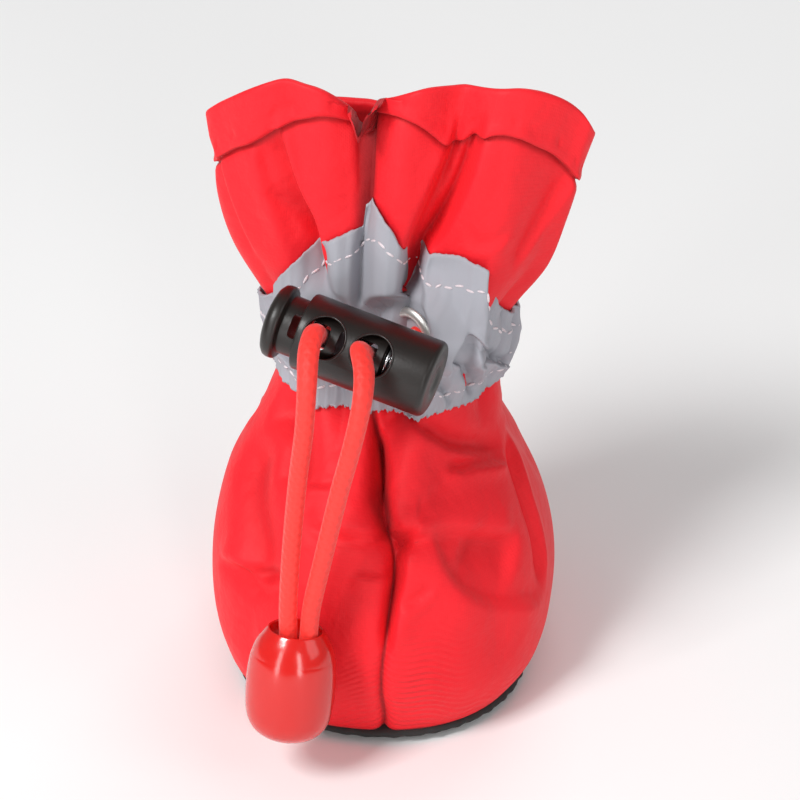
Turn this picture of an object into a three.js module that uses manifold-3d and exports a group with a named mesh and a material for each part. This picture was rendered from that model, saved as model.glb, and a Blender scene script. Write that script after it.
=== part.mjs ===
// A dog bootie: a soft nylon sock on a thin rubber-faced sole, with a reflective band round the
// ankle that an elastic draw cord gathers. The cord's two ends leave the band through two metal
// eyelets, pass through a spring cord lock and end together in a moulded bell.
// Millimetres, +Z up, toe towards -Y, the wearer's left or right either way. The origin is on the
// floor, under the middle of the sole.
import * as THREE from "three";
import { mergeVertices } from "three/addons/utils/BufferGeometryUtils.js";
import Module from "manifold-3d";

const wasm = await Module();
wasm.setup();

const GAP = 0.3; // between two pieces that lie against each other

// Sole
const SOLE_THICK = 2.6;
const SOLE_EDGE = 1.3; // height of the widest line of the sole's rim
const SOLE_HALF_WIDTH = 22.4;
const SOLE_MIDDLE_X = 0.9; // the sole's middle line lies this far to the right of the seam's
const SOLE_TOE_Y = -31.4;
const SOLE_HEEL_Y = 27.2;
const SOLE_BALL_Y = -8; // where the sole is widest
const SOLE_TOE_POWER = 0.92; // 1 is an ellipse, and less is squarer
const SOLE_HEEL_POWER = 0.72;
const SOLE_ARCH_IN = 1.6; // how far the sides draw in at the arch
const SOLE_FLAT_SHARE = 0.88; // the share of the outline that lies flat on the floor
const TOE_SPRING = 0.9; // the rim's lift at the toe
const SOLE_COLUMNS = 44;
const INSOLE_THICK = 1;
const INSOLE_IN = 4; // the insole's outline inside the sole's

// Upper
const WALL = 1.2;
const UPPER_BOTTOM_Z = SOLE_THICK + GAP;
const COLLAR_Z = 88;
const HEM_HEIGHT = 8;
const HEM_STEP = 0.6; // the folded hem stands this proud of the shaft
const UPPER_COLUMNS = 56;
const FRONT_CROWDING = 0.34; // columns lie closer at the front, where the folds are

// The upper's level sections, from the sole seam up: the foremost and rearmost points, the reach
// to the left and right, the place of the widest line, and how square the outline is towards the
// toe and towards the heel, where 2 is an ellipse.
const SECTIONS = [
  { z: 2.9, front: -29.6, back: 26.0, left: 20.8, right: 22.6, beam: -8.5, toe: 2.25, heel: 2.8 },
  { z: 6, front: -32.2, back: 28.0, left: 23.2, right: 25.2, beam: -8, toe: 2.2, heel: 2.75 },
  { z: 11, front: -33.8, back: 29.0, left: 24.9, right: 26.4, beam: -7, toe: 2.1, heel: 2.6 },
  { z: 17, front: -33.6, back: 29.0, left: 25.5, right: 26.2, beam: -6, toe: 2.05, heel: 2.4 },
  { z: 24, front: -31.8, back: 27.8, left: 25.0, right: 24.8, beam: -4.8, toe: 2.1, heel: 2.15 },
  { z: 31, front: -28.4, back: 25.4, left: 23.4, right: 22.2, beam: -3.2, toe: 2.05, heel: 2 },
  { z: 36, front: -24.6, back: 22.8, left: 21.2, right: 19.6, beam: -1.6, toe: 2, heel: 1.9 },
  { z: 40, front: -21.1, back: 21.4, left: 19.0, right: 18.0, beam: 0.4, toe: 2, heel: 2 },
  { z: 45, front: -16.4, back: 19.2, left: 16.8, right: 17.3, beam: 1.8, toe: 2, heel: 2 },
  { z: 50, front: -12.2, back: 17.4, left: 15.5, right: 17.0, beam: 2.4, toe: 2, heel: 2 },
  { z: 55, front: -10.4, back: 15.6, left: 15.8, right: 17.2, beam: 2.6, toe: 2, heel: 2 },
  { z: 61, front: -9.6, back: 14.2, left: 19.6, right: 19.8, beam: 2.4, toe: 2, heel: 2 },
  { z: 67, front: -9.2, back: 13.4, left: 22.9, right: 23.6, beam: 2, toe: 2, heel: 2 },
  { z: 74, front: -8.6, back: 12.2, left: 24.7, right: 26.0, beam: 1.4, toe: 2, heel: 2 },
  { z: 81, front: -8.0, back: 10.6, left: 25.2, right: 27.8, beam: 0.8, toe: 2, heel: 2 },
  { z: COLLAR_Z, front: -7.4, back: 8.8, left: 25.9, right: 30.0, beam: 0.3, toe: 2, heel: 2 },
];
const UPPER_LEVELS = [2.9, 6, 11, 17, 24, 30, 35, 39, 43, 46.5, 50, 53.5, 57, 60, 62.5, 65, 68, 71, 75];

// Height of the collar's edge round the shaft. Angle 0 is the front, 90 the right side.
const COLLAR_EDGE = [
  { angle: -180, z: 87.5 },
  { angle: -120, z: 87.5 },
  { angle: -90, z: 88 },
  { angle: -62, z: 92 },
  { angle: -34, z: 97.5 },
  { angle: -22, z: 97.5 },
  { angle: -16, z: 96.7 },
  { angle: -9, z: 93.4 },
  { angle: -4.5, z: 89 },
  { angle: -2, z: 93 },
  { angle: 4, z: 96 },
  { angle: 13, z: 98 },
  { angle: 24, z: 97.6 },
  { angle: 42, z: 98.6 },
  { angle: 57, z: 96.7 },
  { angle: 71, z: 93.6 },
  { angle: 88, z: 89.4 },
  { angle: 120, z: 88 },
  { angle: 180, z: 87.5 },
];
const EDGE_RISE_FROM_Z = 62; // below this the sections stay level

// Heights of the reflective band's edges round the ankle.
const BAND_EDGES = [
  { angle: -180, low: 46, high: 65 },
  { angle: -125, low: 46, high: 63 },
  { angle: -90, low: 46, high: 59 },
  { angle: -60, low: 46.5, high: 62 },
  { angle: -38, low: 47, high: 67.5 },
  { angle: -16, low: 48, high: 70.5 },
  { angle: -7, low: 48.5, high: 72 },
  { angle: -2, low: 48.5, high: 75.5 },
  { angle: 7, low: 48.5, high: 71 },
  { angle: 14, low: 48, high: 68 },
  { angle: 24, low: 47.5, high: 69 },
  { angle: 42, low: 47, high: 67.5 },
  { angle: 60, low: 46.5, high: 61 },
  { angle: 76, low: 46, high: 58 },
  { angle: 90, low: 46, high: 58 },
  { angle: 125, low: 46, high: 63 },
  { angle: 180, low: 46, high: 65 },
];
const BAND_GAP = 0.8;
const BAND_THICK = 0.8;
const BAND_ROWS = 9;
const CHANNEL_Z = 57; // height of the cord channel in the band
const CHANNEL_HALF_HEIGHT = 9;
const CHANNEL_BULGE = 1.0;

// The angle at which the centre-front seam runs at each height.
const SEAM_PATH = [
  { z: 3, angle: 8.5 },
  { z: 12, angle: 8.5 },
  { z: 22, angle: 10.8 },
  { z: 31, angle: 14.5 },
  { z: 37, angle: 12 },
  { z: 43, angle: 7.5 },
  { z: 48, angle: 0 },
  { z: 56, angle: -5 },
  { z: 70, angle: -4.5 },
  { z: 80, angle: -3.8 },
  { z: 100, angle: -3.4 },
];

// The folds that gather at the ankle, each running from a low to a high end. Angles and widths
// are in degrees, depths in millimetres, and a fold with a depth below 0 is a ridge.
const FOLDS = [
  { name: "collar notch", z: [62, 96], angle: [-3, -3], width: [12, 16], depth: [0.6, 3.8] },
  { name: "left valley", z: [45, 89], angle: [-16, -30], width: [14, 14], depth: [2.0, 1.6] },
  { name: "left petal", z: [62, 100], angle: [-24, -40], width: [26, 34], depth: [-0.6, -1.4] },
  { name: "centre lobe", z: [48, 82], angle: [1, 7], width: [10, 13], depth: [-0.4, -0.7] },
  { name: "right valley", z: [46, 95], angle: [13, 26], width: [15, 14], depth: [1.8, 3.0] },
  { name: "right pleat", z: [48, 90], angle: [36, 46], width: [24, 26], depth: [-3.2, -1.2] },
  { name: "right tuck", z: [45, 68], angle: [66, 68], width: [16, 14], depth: [1.8, 0.6] },
  { name: "right edge fold", z: [58, 100], angle: [84, 76], width: [14, 16], depth: [-0.8, -0.8] },
  { name: "left tuck", z: [45, 66], angle: [-50, -52], width: [16, 14], depth: [1.6, 0.8] },
  { name: "left rear tuck", z: [43, 70], angle: [-100, -98], width: [15, 13], depth: [1.8, 0.6] },
  { name: "rear left pleat", z: [44, 76], angle: [-138, -134], width: [17, 16], depth: [2.4, 0.8] },
  { name: "rear seam", z: [6, 94], angle: [180, 180], width: [10, 9], depth: [0.9, 0.9] },
  { name: "rear right pleat", z: [44, 76], angle: [140, 136], width: [17, 16], depth: [2.4, 0.8] },
  { name: "right rear tuck", z: [43, 70], angle: [103, 100], width: [15, 13], depth: [1.8, 0.6] },
  { name: "toe tuck", z: [26, 50], angle: [13, 8], width: [11, 13], depth: [1.2, 1.6] },
  { name: "toe ridge", z: [28, 50], angle: [27, 22], width: [14, 14], depth: [-0.8, -1.2] },
  { name: "left toe dent", z: [12, 32], angle: [-40, -38], width: [22, 20], depth: [0.8, 0.8] },
  { name: "right toe dent", z: [14, 34], angle: [52, 48], width: [20, 20], depth: [1.0, 0.8] },
];
const FOLD_FADE = 6; // a fold dies out over this height at each end
const FOLD_ROUNDING = 0.12; // the share of its width over which a fold's bottom is rounded
const SEAM_DEPTH = 0.7;
const SEAM_WIDTH = 4.5;

// Eyelets: where each sits on the band, and the way it faces.
const EYELET_HOLE_R = 2.6;
const EYELET_FLANGE_R = 4.2;
const EYELET_THICK = 0.9;
const EYELETS = [
  { side: "left", at: [-7.4, -8.0, 59.6], facing: [-0.16, -0.987, 0] },
  { side: "right", at: [7.2, -8.4, 60], facing: [-0.34, -0.94, 0] },
];
const PAD_FLAT_R = 5.2; // the band lies flat under the flange, and blends in out to the next radius
const PAD_BLEND_R = 7.6;
const PAD_REACH = 8; // the cloth further in or out than this is left as it is

// Cord lock: a barrel with two cross holes, and a sprung plunger in its left end.
const LOCK_CENTRE = [1.0, -22, 62.9];
const LOCK_AXIS = [0.958, -0.204, -0.204];
const LOCK_HOLES_FACE = [0.1, -0.83, 0.55];
const BARREL_LENGTH = 20.2;
const BARREL_R = 5.65;
const BARREL_BORE_R = 4.6;
const BARREL_END_WALL = 1.7;
const LOCK_HOLE_R = 3.05;
const LOCK_HOLES_FROM_MOUTH = [4.2, 11.4];
const PLUNGER_R = 4.3;
const PLUNGER_HEAD_R = 5.4;
const PLUNGER_HEAD_THICK = 2.4;
const PLUNGER_TRAVEL = 2.5; // what the head can still be pressed
const PLUNGER_REST_GAP = 2.8; // between head and barrel at rest
const PLUNGER_INSIDE = 13; // how far the plunger reaches into the barrel at rest
const SLOT_HALF_WIDTH = 1.8;

// Draw cord
const CORD_R = 1.35;
const CORD_SIDES = 8;
const CORD_PINCH = 1.4; // the plunger holds each cord this far off its hole's centre
const CORD_ROUTES = {
  left: {
    behind: [
      [-7.6, -9.3, 59.6],
      [-7.6, -11.0, 59.4],
      [-7.1, -13.0, 59.4],
    ],
    hanging: [
      [-6.4, -30.0, 67.4],
      [-6.1, -33.4, 64.2],
      [-6.3, -35.2, 58],
      [-7.2, -36.0, 50],
      [-8.1, -36.8, 39.5],
      [-8.6, -37.8, 30],
      [-8.6, -38.5, 23.6],
    ],
  },
  right: {
    behind: [
      [6.75, -9.65, 60],
      [5.9, -11.6, 59.6],
      [4.2, -13.8, 58.7],
    ],
    hanging: [
      [1.6, -31.0, 65.6],
      [1.7, -34.0, 62.4],
      [0.6, -35.6, 56.5],
      [-1.3, -36.2, 48.5],
      [-3.7, -36.9, 37],
      [-5.2, -37.8, 29.5],
      [-5.7, -38.4, 23.6],
    ],
  },
};

// Bell that ends the cord
const BELL_CENTRE = [-8.2, -39.2, 16.6];
const BELL_HEIGHT = 17.5;
const BELL_FLATTEN = 0.86; // its depth as a share of its width
const BELL_TILT = [-0.2, 0.07]; // turned about X and Y, in radians
// The bell's half-width at each height, from its foot up.
const BELL_PROFILE = [
  { up: 0, r: 2.4 },
  { up: 1.1, r: 4.6 },
  { up: 2.8, r: 6.1 },
  { up: 4.2, r: 6.55 },
  { up: 7.5, r: 6.5 },
  { up: 11, r: 6.2 },
  { up: 14, r: 5.7 },
  { up: 16.4, r: 5.1 },
  { up: 17.5, r: 4.7 },
];
const BELL_MOUTH_R = 4.3;
const BELL_MOUTH_DEPTH = 2.6;

const RED_CLOTH = { color: 0xe8222c, roughness: 0.6, metalness: 0 };
const GREY_TAPE = { color: 0x9a98a4, roughness: 0.45, metalness: 0.1 };
const BLACK_RUBBER = { color: 0x1c1a1a, roughness: 0.85, metalness: 0 };
const BLACK_PLASTIC = { color: 0x1b1816, roughness: 0.4, metalness: 0 };
const RED_PLASTIC = { color: 0xe01a14, roughness: 0.2, metalness: 0 };
const RED_CORD = { color: 0xf03028, roughness: 0.7, metalness: 0 };
const NICKEL = { color: 0xd8d4cc, roughness: 0.25, metalness: 1 };

const radians = THREE.MathUtils.degToRad;
const degrees = THREE.MathUtils.radToDeg;
const clamp01 = (value) => THREE.MathUtils.clamp(value, 0, 1);

function smooth(from, to, value) {
  return THREE.MathUtils.smoothstep(value, from, to);
}

// A table's column read at a key, on a smooth curve through its rows.
function readTable(table, key, column, at) {
  const last = table.length - 1;
  let i = 0;
  while (i < last - 1 && at > table[i + 1][key]) i += 1;
  const [a, b] = [table[i], table[i + 1]];
  const before = table[Math.max(i - 1, 0)];
  const after = table[Math.min(i + 2, last)];
  const span = b[key] - a[key];
  const t = clamp01((at - a[key]) / span);
  const slopeA = ((b[column] - before[column]) / Math.max(b[key] - before[key], 1e-9)) * span;
  const slopeB = ((after[column] - a[column]) / Math.max(after[key] - a[key], 1e-9)) * span;
  const t2 = t * t;
  const t3 = t2 * t;
  return (
    (2 * t3 - 3 * t2 + 1) * a[column] +
    (t3 - 2 * t2 + t) * slopeA +
    (3 * t2 - 2 * t3) * b[column] +
    (t3 - t2) * slopeB
  );
}

function wrapDegrees(angle) {
  return ((((angle + 180) % 360) + 360) % 360) - 180;
}

// A point of the plain section at a height, with no folds. Level is the section's nominal height.
function basePoint(angle, level) {
  const read = (column) => readTable(SECTIONS, "z", column, level);
  const [s, c] = [Math.sin(radians(angle)), Math.cos(radians(angle))];
  const power = 2 / (c > 0 ? read("toe") : read("heel"));
  const beam = read("beam");
  const x = Math.sign(s) * Math.abs(s) ** power * (s < 0 ? read("left") : read("right"));
  const reach = c > 0 ? read("front") - beam : read("back") - beam;
  const edge = readTable(COLLAR_EDGE, "angle", "z", wrapDegrees(angle));
  const rise = (edge - COLLAR_Z) * smooth(EDGE_RISE_FROM_Z, COLLAR_Z, level);
  return new THREE.Vector3(x, beam + reach * Math.abs(c) ** power, level + rise);
}

function baseNormal(angle, level) {
  const low = Math.max(level - 0.5, UPPER_BOTTOM_Z);
  const high = Math.min(level + 0.5, COLLAR_Z);
  const around = basePoint(angle + 1, level).sub(basePoint(angle - 1, level));
  const upwards = basePoint(angle, high).sub(basePoint(angle, low));
  return around.cross(upwards).normalize();
}

// A valley with rounded sides: 1 at its bottom, 0 from one width away.
function foldShape(distance) {
  const eased = Math.hypot(distance, FOLD_ROUNDING) - FOLD_ROUNDING * Math.exp(-distance * distance);
  return 1 - Math.sin(clamp01(eased) * (Math.PI / 2));
}

// How far the cloth lies inside the plain section at a place.
function foldDepth(angle, level) {
  let depth = 0;
  for (const fold of FOLDS) {
    const along = clamp01((level - fold.z[0]) / (fold.z[1] - fold.z[0]));
    const mix = (pair) => THREE.MathUtils.lerp(pair[0], pair[1], along);
    const fade = smooth(fold.z[0] - FOLD_FADE, fold.z[0] + FOLD_FADE, level) *
      (1 - smooth(fold.z[1] - FOLD_FADE, fold.z[1] + FOLD_FADE, level));
    if (fade > 0) {
      depth += fade * mix(fold.depth) * foldShape(wrapDegrees(angle - mix(fold.angle)) / mix(fold.width));
    }
  }
  const seam = readTable(SEAM_PATH, "z", "angle", level);
  return depth + SEAM_DEPTH * foldShape(wrapDegrees(angle - seam) / SEAM_WIDTH);
}

// The cloth is pressed flat where an eyelet is riveted through the band.
function flattenUnderEyelets(point, offset) {
  for (const eyelet of EYELETS) {
    const facing = new THREE.Vector3(...eyelet.facing).normalize();
    const away = point.clone().sub(new THREE.Vector3(...eyelet.at));
    const height = away.dot(facing);
    const radius = away.addScaledVector(facing, -height).length();
    const near = 1 - smooth(PAD_REACH / 2, PAD_REACH, Math.abs(height - offset));
    const hold = near * (1 - smooth(PAD_FLAT_R, PAD_BLEND_R, radius));
    point.addScaledVector(facing, hold * (offset - height));
  }
  return point;
}

// The upper's surface, moved out from the cloth's outer face by an offset.
function clothPoint(angle, level, offset) {
  const point = basePoint(angle, level);
  point.addScaledVector(baseNormal(angle, level), offset - foldDepth(angle, level));
  return flattenUnderEyelets(point, offset);
}

function columnAngles(count) {
  return Array.from({ length: count }, (_, i) => {
    const turn = (i / count) * 2 * Math.PI;
    return degrees(turn - FRONT_CROWDING * Math.sin(turn));
  });
}

function solidOf(geometry) {
  const plain = geometry.index ? geometry.toNonIndexed() : geometry.clone();
  plain.deleteAttribute("normal");
  plain.deleteAttribute("uv");
  const merged = mergeVertices(plain, 1e-4);
  return new wasm.Manifold(
    new wasm.Mesh({
      numProp: 3,
      vertProperties: new Float32Array(merged.attributes.position.array),
      triVerts: new Uint32Array(merged.index.array),
    }),
  );
}

function geometryOf(solid) {
  const made = solid.getMesh();
  const geometry = new THREE.BufferGeometry();
  geometry.setAttribute("position", new THREE.BufferAttribute(made.vertProperties, 3));
  geometry.setIndex(new THREE.BufferAttribute(made.triVerts, 1));
  geometry.computeVertexNormals();
  return geometry;
}

// Rings of equally many points, one above the other, closed by a skin. The list of rings runs
// round the section of a wall, or from the lower cap to the upper one.
function skinOfRings(rings, { loop }) {
  const count = rings[0].length;
  const positions = rings.flat().flatMap((p) => [p.x, p.y, p.z]);
  const faces = [];
  const pairs = loop ? rings.length : rings.length - 1;
  for (let r = 0; r < pairs; r += 1) {
    const [low, high] = [r * count, ((r + 1) % rings.length) * count];
    for (let i = 0; i < count; i += 1) {
      const next = (i + 1) % count;
      faces.push(low + i, low + next, high + next, low + i, high + next, high + i);
    }
  }
  if (!loop) {
    for (const [start, turned] of [[0, true], [(rings.length - 1) * count, false]]) {
      const ring = positions.slice(start * 3, (start + count) * 3);
      const middle = positions.length / 3;
      const mean = [0, 1, 2].map((k) => ring.filter((_, i) => i % 3 === k).reduce((a, b) => a + b) / count);
      positions.push(...mean);
      for (let i = 0; i < count; i += 1) {
        const [a, b] = [start + i, start + ((i + 1) % count)];
        faces.push(middle, turned ? b : a, turned ? a : b);
      }
    }
  }
  const geometry = new THREE.BufferGeometry();
  geometry.setAttribute("position", new THREE.Float32BufferAttribute(positions, 3));
  geometry.setIndex(faces);
  geometry.computeVertexNormals();
  return geometry;
}

function upperGeometry() {
  const angles = columnAngles(UPPER_COLUMNS);
  const hemZ = COLLAR_Z - HEM_HEIGHT;
  const outside = [
    ...UPPER_LEVELS.map((z) => [z, 0]),
    [hemZ - 0.4, 0],
    [hemZ, HEM_STEP],
    [COLLAR_Z - 0.8, HEM_STEP],
    [COLLAR_Z, 0],
  ];
  const lining = [...UPPER_LEVELS, hemZ - 0.4, COLLAR_Z].reverse();
  const inside = lining.map((z) => [z, -WALL]);
  const rings = [...outside, ...inside].map(([z, offset]) => angles.map((a) => clothPoint(a, z, offset)));
  return skinOfRings(rings, { loop: true });
}

function bandGeometry() {
  const angles = columnAngles(UPPER_COLUMNS);
  const heights = Array.from({ length: BAND_ROWS + 1 }, (_, i) => i / BAND_ROWS);
  const ring = (share, outer) =>
    angles.map((a) => {
      const low = readTable(BAND_EDGES, "angle", "low", wrapDegrees(a));
      const high = readTable(BAND_EDGES, "angle", "high", wrapDegrees(a));
      const level = THREE.MathUtils.lerp(low, high, share);
      const away = (level - CHANNEL_Z) / CHANNEL_HALF_HEIGHT;
      const bulge = CHANNEL_BULGE * Math.exp(-away * away);
      return clothPoint(a, level, BAND_GAP + bulge + (outer ? BAND_THICK : 0));
    });
  const rings = [...heights.map((h) => ring(h, true)), ...heights.reverse().map((h) => ring(h, false))];
  let band = solidOf(skinOfRings(rings, { loop: true }));
  for (const eyelet of EYELETS) {
    const hole = new THREE.CylinderGeometry(EYELET_HOLE_R + 0.7, EYELET_HOLE_R + 0.7, 8, 20);
    hole.applyMatrix4(facingMatrix(eyelet));
    band = band.subtract(solidOf(hole));
  }
  return geometryOf(band);
}

// Turns +Y to the way the eyelet faces and moves it to its place.
function facingMatrix(eyelet) {
  const facing = new THREE.Vector3(...eyelet.facing).normalize();
  const turn = new THREE.Quaternion().setFromUnitVectors(new THREE.Vector3(0, 1, 0), facing);
  return new THREE.Matrix4().compose(new THREE.Vector3(...eyelet.at), turn, new THREE.Vector3(1, 1, 1));
}

// A rolled ring with a short barrel that reaches down through the band.
function eyeletGeometry(eyelet) {
  const away = (eyelet.at[2] - CHANNEL_Z) / CHANNEL_HALF_HEIGHT;
  const seat = BAND_GAP + BAND_THICK + CHANNEL_BULGE * Math.exp(-away * away) + GAP;
  const profile = [
    [EYELET_HOLE_R, seat - 1.1],
    [EYELET_HOLE_R + 0.4, seat - 1.1],
    [EYELET_HOLE_R + 0.4, seat],
    [EYELET_FLANGE_R, seat],
    [EYELET_FLANGE_R - 0.15, seat + 0.45],
    [EYELET_FLANGE_R - 0.75, seat + EYELET_THICK],
    [EYELET_HOLE_R + 0.4, seat + EYELET_THICK],
    [EYELET_HOLE_R, seat + 0.4],
    [EYELET_HOLE_R, seat - 1.1],
  ];
  return new THREE.LatheGeometry(profile.map(([r, y]) => new THREE.Vector2(r, y)), 20);
}

// The sole's outline, scaled towards its middle line, at one turn of the compass.
function soleOutline(turn, inset) {
  const [s, c] = [Math.sin(turn), Math.cos(turn)];
  const reach = c > 0 ? SOLE_BALL_Y - SOLE_TOE_Y - inset : SOLE_HEEL_Y - SOLE_BALL_Y - inset;
  const power = c > 0 ? SOLE_TOE_POWER : SOLE_HEEL_POWER;
  const y = SOLE_BALL_Y - Math.sign(c) * Math.abs(c) ** power * reach;
  const toHeel = clamp01((y - SOLE_BALL_Y) / (SOLE_HEEL_Y - SOLE_BALL_Y));
  const arch = SOLE_ARCH_IN * Math.sin(toHeel * Math.PI);
  return { x: SOLE_MIDDLE_X + Math.sign(s) * Math.abs(s) ** power * (SOLE_HALF_WIDTH - inset - arch), y };
}

function soleRing(inset, height) {
  return Array.from({ length: SOLE_COLUMNS }, (_, i) => {
    const turn = (i / SOLE_COLUMNS) * 2 * Math.PI;
    const { x, y } = soleOutline(turn, inset);
    return new THREE.Vector3(x, y, typeof height === "function" ? height(y) : height);
  });
}

function outsoleGeometry() {
  const spring = (y) => 0.4 + (TOE_SPRING - 0.4) * smooth(-12, SOLE_TOE_Y, y);
  const flatIn = (1 - SOLE_FLAT_SHARE) * SOLE_HALF_WIDTH;
  return skinOfRings(
    [
      soleRing(flatIn, 0),
      soleRing(0.7, (y) => spring(y)),
      soleRing(0, SOLE_EDGE + 0.2),
      soleRing(0.15, SOLE_THICK - 0.3),
      soleRing(0.6, SOLE_THICK),
    ],
    { loop: false },
  );
}

function insoleGeometry() {
  const low = SOLE_THICK + GAP;
  return skinOfRings([soleRing(INSOLE_IN, low), soleRing(INSOLE_IN, low + INSOLE_THICK)], { loop: false });
}

// The lock's own frame: X along the barrel from the plunger's side, Z out of its cross holes.
const lockFrame = (() => {
  const along = new THREE.Vector3(...LOCK_AXIS).normalize();
  const out = new THREE.Vector3(...LOCK_HOLES_FACE);
  out.addScaledVector(along, -out.dot(along)).normalize();
  const across = new THREE.Vector3().crossVectors(out, along);
  return new THREE.Matrix4().makeBasis(along, across, out).setPosition(...LOCK_CENTRE);
})();
const MOUTH_X = -BARREL_LENGTH / 2;

// A lathe whose axis is X: profile rows are [place along X, radius].
function turnedAlongX(profile, segments) {
  const lathe = new THREE.LatheGeometry(profile.map(([x, r]) => new THREE.Vector2(r, x)), segments);
  return lathe.rotateZ(-Math.PI / 2);
}

function crossHole(x, radius) {
  return new THREE.CylinderGeometry(radius, radius, 4 * BARREL_R, 20).rotateX(Math.PI / 2).translate(x, 0, 0);
}

function barrelGeometry() {
  const end = -MOUTH_X;
  const round = 0.7;
  const blind = end - BARREL_END_WALL;
  const body = turnedAlongX(
    [
      [blind, 0],
      [blind, BARREL_BORE_R],
      [MOUTH_X, BARREL_BORE_R],
      [MOUTH_X, BARREL_R - 0.3],
      [MOUTH_X + 0.3, BARREL_R],
      [end - round, BARREL_R],
      [end, BARREL_R - round],
      [end, 0],
    ],
    28,
  );
  let solid = solidOf(body);
  for (const x of LOCK_HOLES_FROM_MOUTH) solid = solid.subtract(solidOf(crossHole(MOUTH_X + x, LOCK_HOLE_R)));
  return geometryOf(solid).applyMatrix4(lockFrame);
}

function plungerGeometry() {
  const headInner = MOUTH_X - PLUNGER_REST_GAP;
  const headOuter = headInner - PLUNGER_HEAD_THICK;
  const tip = MOUTH_X + PLUNGER_INSIDE;
  const body = turnedAlongX(
    [
      [headOuter, 0],
      [headOuter, PLUNGER_HEAD_R - 2.4],
      [headOuter + 0.25, PLUNGER_HEAD_R - 0.8],
      [headOuter + 0.9, PLUNGER_HEAD_R],
      [headInner, PLUNGER_HEAD_R],
      [headInner, PLUNGER_R],
      [tip, PLUNGER_R],
      [tip, 0],
    ],
    24,
  );
  let solid = solidOf(body);
  for (const x of LOCK_HOLES_FROM_MOUTH) {
    const cord = MOUTH_X + x - CORD_PINCH;
    const from = cord - CORD_R - GAP - PLUNGER_TRAVEL;
    const to = cord + CORD_R + GAP;
    const slot = new THREE.BoxGeometry(to - from, 2 * SLOT_HALF_WIDTH, 4 * PLUNGER_R);
    solid = solid.subtract(solidOf(slot.translate((from + to) / 2, 0, 0)));
  }
  return geometryOf(solid).applyMatrix4(lockFrame);
}

function bellGeometry() {
  const top = BELL_PROFILE[BELL_PROFILE.length - 1];
  const profile = [
    [0, 0],
    ...BELL_PROFILE.map(({ up, r }) => [r, up]),
    [BELL_MOUTH_R, top.up],
    [BELL_MOUTH_R, top.up - BELL_MOUTH_DEPTH],
    [0, top.up - BELL_MOUTH_DEPTH],
  ];
  const bell = new THREE.LatheGeometry(profile.map(([r, up]) => new THREE.Vector2(r, up)), 24);
  bell.translate(0, -BELL_HEIGHT / 2, 0).rotateX(Math.PI / 2).scale(1, BELL_FLATTEN, 1);
  bell.rotateX(BELL_TILT[0]).rotateY(BELL_TILT[1]);
  return bell.translate(...BELL_CENTRE);
}

// The points that a cord follows: out of its eyelet, straight through the lock, then hanging.
function cordPoints(side, holeFromMouth) {
  const route = CORD_ROUTES[side];
  const x = MOUTH_X + holeFromMouth - CORD_PINCH;
  const through = [-1.2, -0.6, 0, 0.6, 1.2].map((share) => new THREE.Vector3(x, 0, share * BARREL_R));
  const at = ([px, py, pz]) => new THREE.Vector3(px, py, pz);
  return [...route.behind.map(at), ...through.map((p) => p.applyMatrix4(lockFrame)), ...route.hanging.map(at)];
}

function cordGeometry(side, holeFromMouth) {
  const path = new THREE.CatmullRomCurve3(cordPoints(side, holeFromMouth), false, "centripetal");
  const outline = Array.from({ length: CORD_SIDES }, (_, i) => {
    const turn = (i / CORD_SIDES) * 2 * Math.PI;
    return new THREE.Vector2(CORD_R * Math.cos(turn), CORD_R * Math.sin(turn));
  });
  return new THREE.ExtrudeGeometry(new THREE.Shape(outline), { extrudePath: path, steps: 30, bevelEnabled: false });
}

const bootie = new THREE.Group();

function addPiece(name, geometry, look, place) {
  const piece = new THREE.Mesh(geometry, new THREE.MeshStandardMaterial(look));
  piece.name = name;
  if (place) piece.applyMatrix4(place);
  bootie.add(piece);
}

addPiece("outsole", outsoleGeometry(), BLACK_RUBBER);
addPiece("insole", insoleGeometry(), BLACK_RUBBER);
addPiece("upper", upperGeometry(), RED_CLOTH);
addPiece("reflective_band", bandGeometry(), GREY_TAPE);
for (const eyelet of EYELETS) {
  addPiece("eyelet_" + eyelet.side, eyeletGeometry(eyelet), NICKEL, facingMatrix(eyelet));
}
addPiece("lock_barrel", barrelGeometry(), BLACK_PLASTIC);
addPiece("lock_plunger", plungerGeometry(), BLACK_PLASTIC);
addPiece("draw_cord_left", cordGeometry("left", LOCK_HOLES_FROM_MOUTH[0]), RED_CORD);
addPiece("draw_cord_right", cordGeometry("right", LOCK_HOLES_FROM_MOUTH[1]), RED_CORD);
addPiece("cord_bell", bellGeometry(), RED_PLASTIC);

export default bootie;
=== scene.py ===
"""A dog bootie: a soft red nylon sock on a thin rubber sole, with a reflective band that an elastic
draw cord gathers at the ankle. The cord's two ends pass a spring cord lock and end in a bell."""

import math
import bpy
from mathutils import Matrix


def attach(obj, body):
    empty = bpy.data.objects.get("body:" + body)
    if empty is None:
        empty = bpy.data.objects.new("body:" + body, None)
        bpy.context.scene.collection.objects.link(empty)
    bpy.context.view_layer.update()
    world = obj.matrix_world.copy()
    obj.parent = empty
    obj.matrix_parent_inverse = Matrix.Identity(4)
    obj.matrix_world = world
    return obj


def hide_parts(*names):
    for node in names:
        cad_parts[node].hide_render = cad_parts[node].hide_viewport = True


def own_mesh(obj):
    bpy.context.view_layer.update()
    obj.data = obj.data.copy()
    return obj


bl_info = {
    "name": "Dog Bootie",
    "version": (1, 0, 0),
    "blender": (4, 5, 0),
    "location": "3D View > Sidebar > Dog Bootie",
    "description": "Models a dog bootie with its gathered band, draw cord, cord lock and bell",
    "category": "Add Mesh",
}

from typing import NamedTuple

import bmesh
import bpy
import numpy as np
from bpy.props import FloatProperty, FloatVectorProperty, PointerProperty
from mathutils import Matrix, Vector

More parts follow.
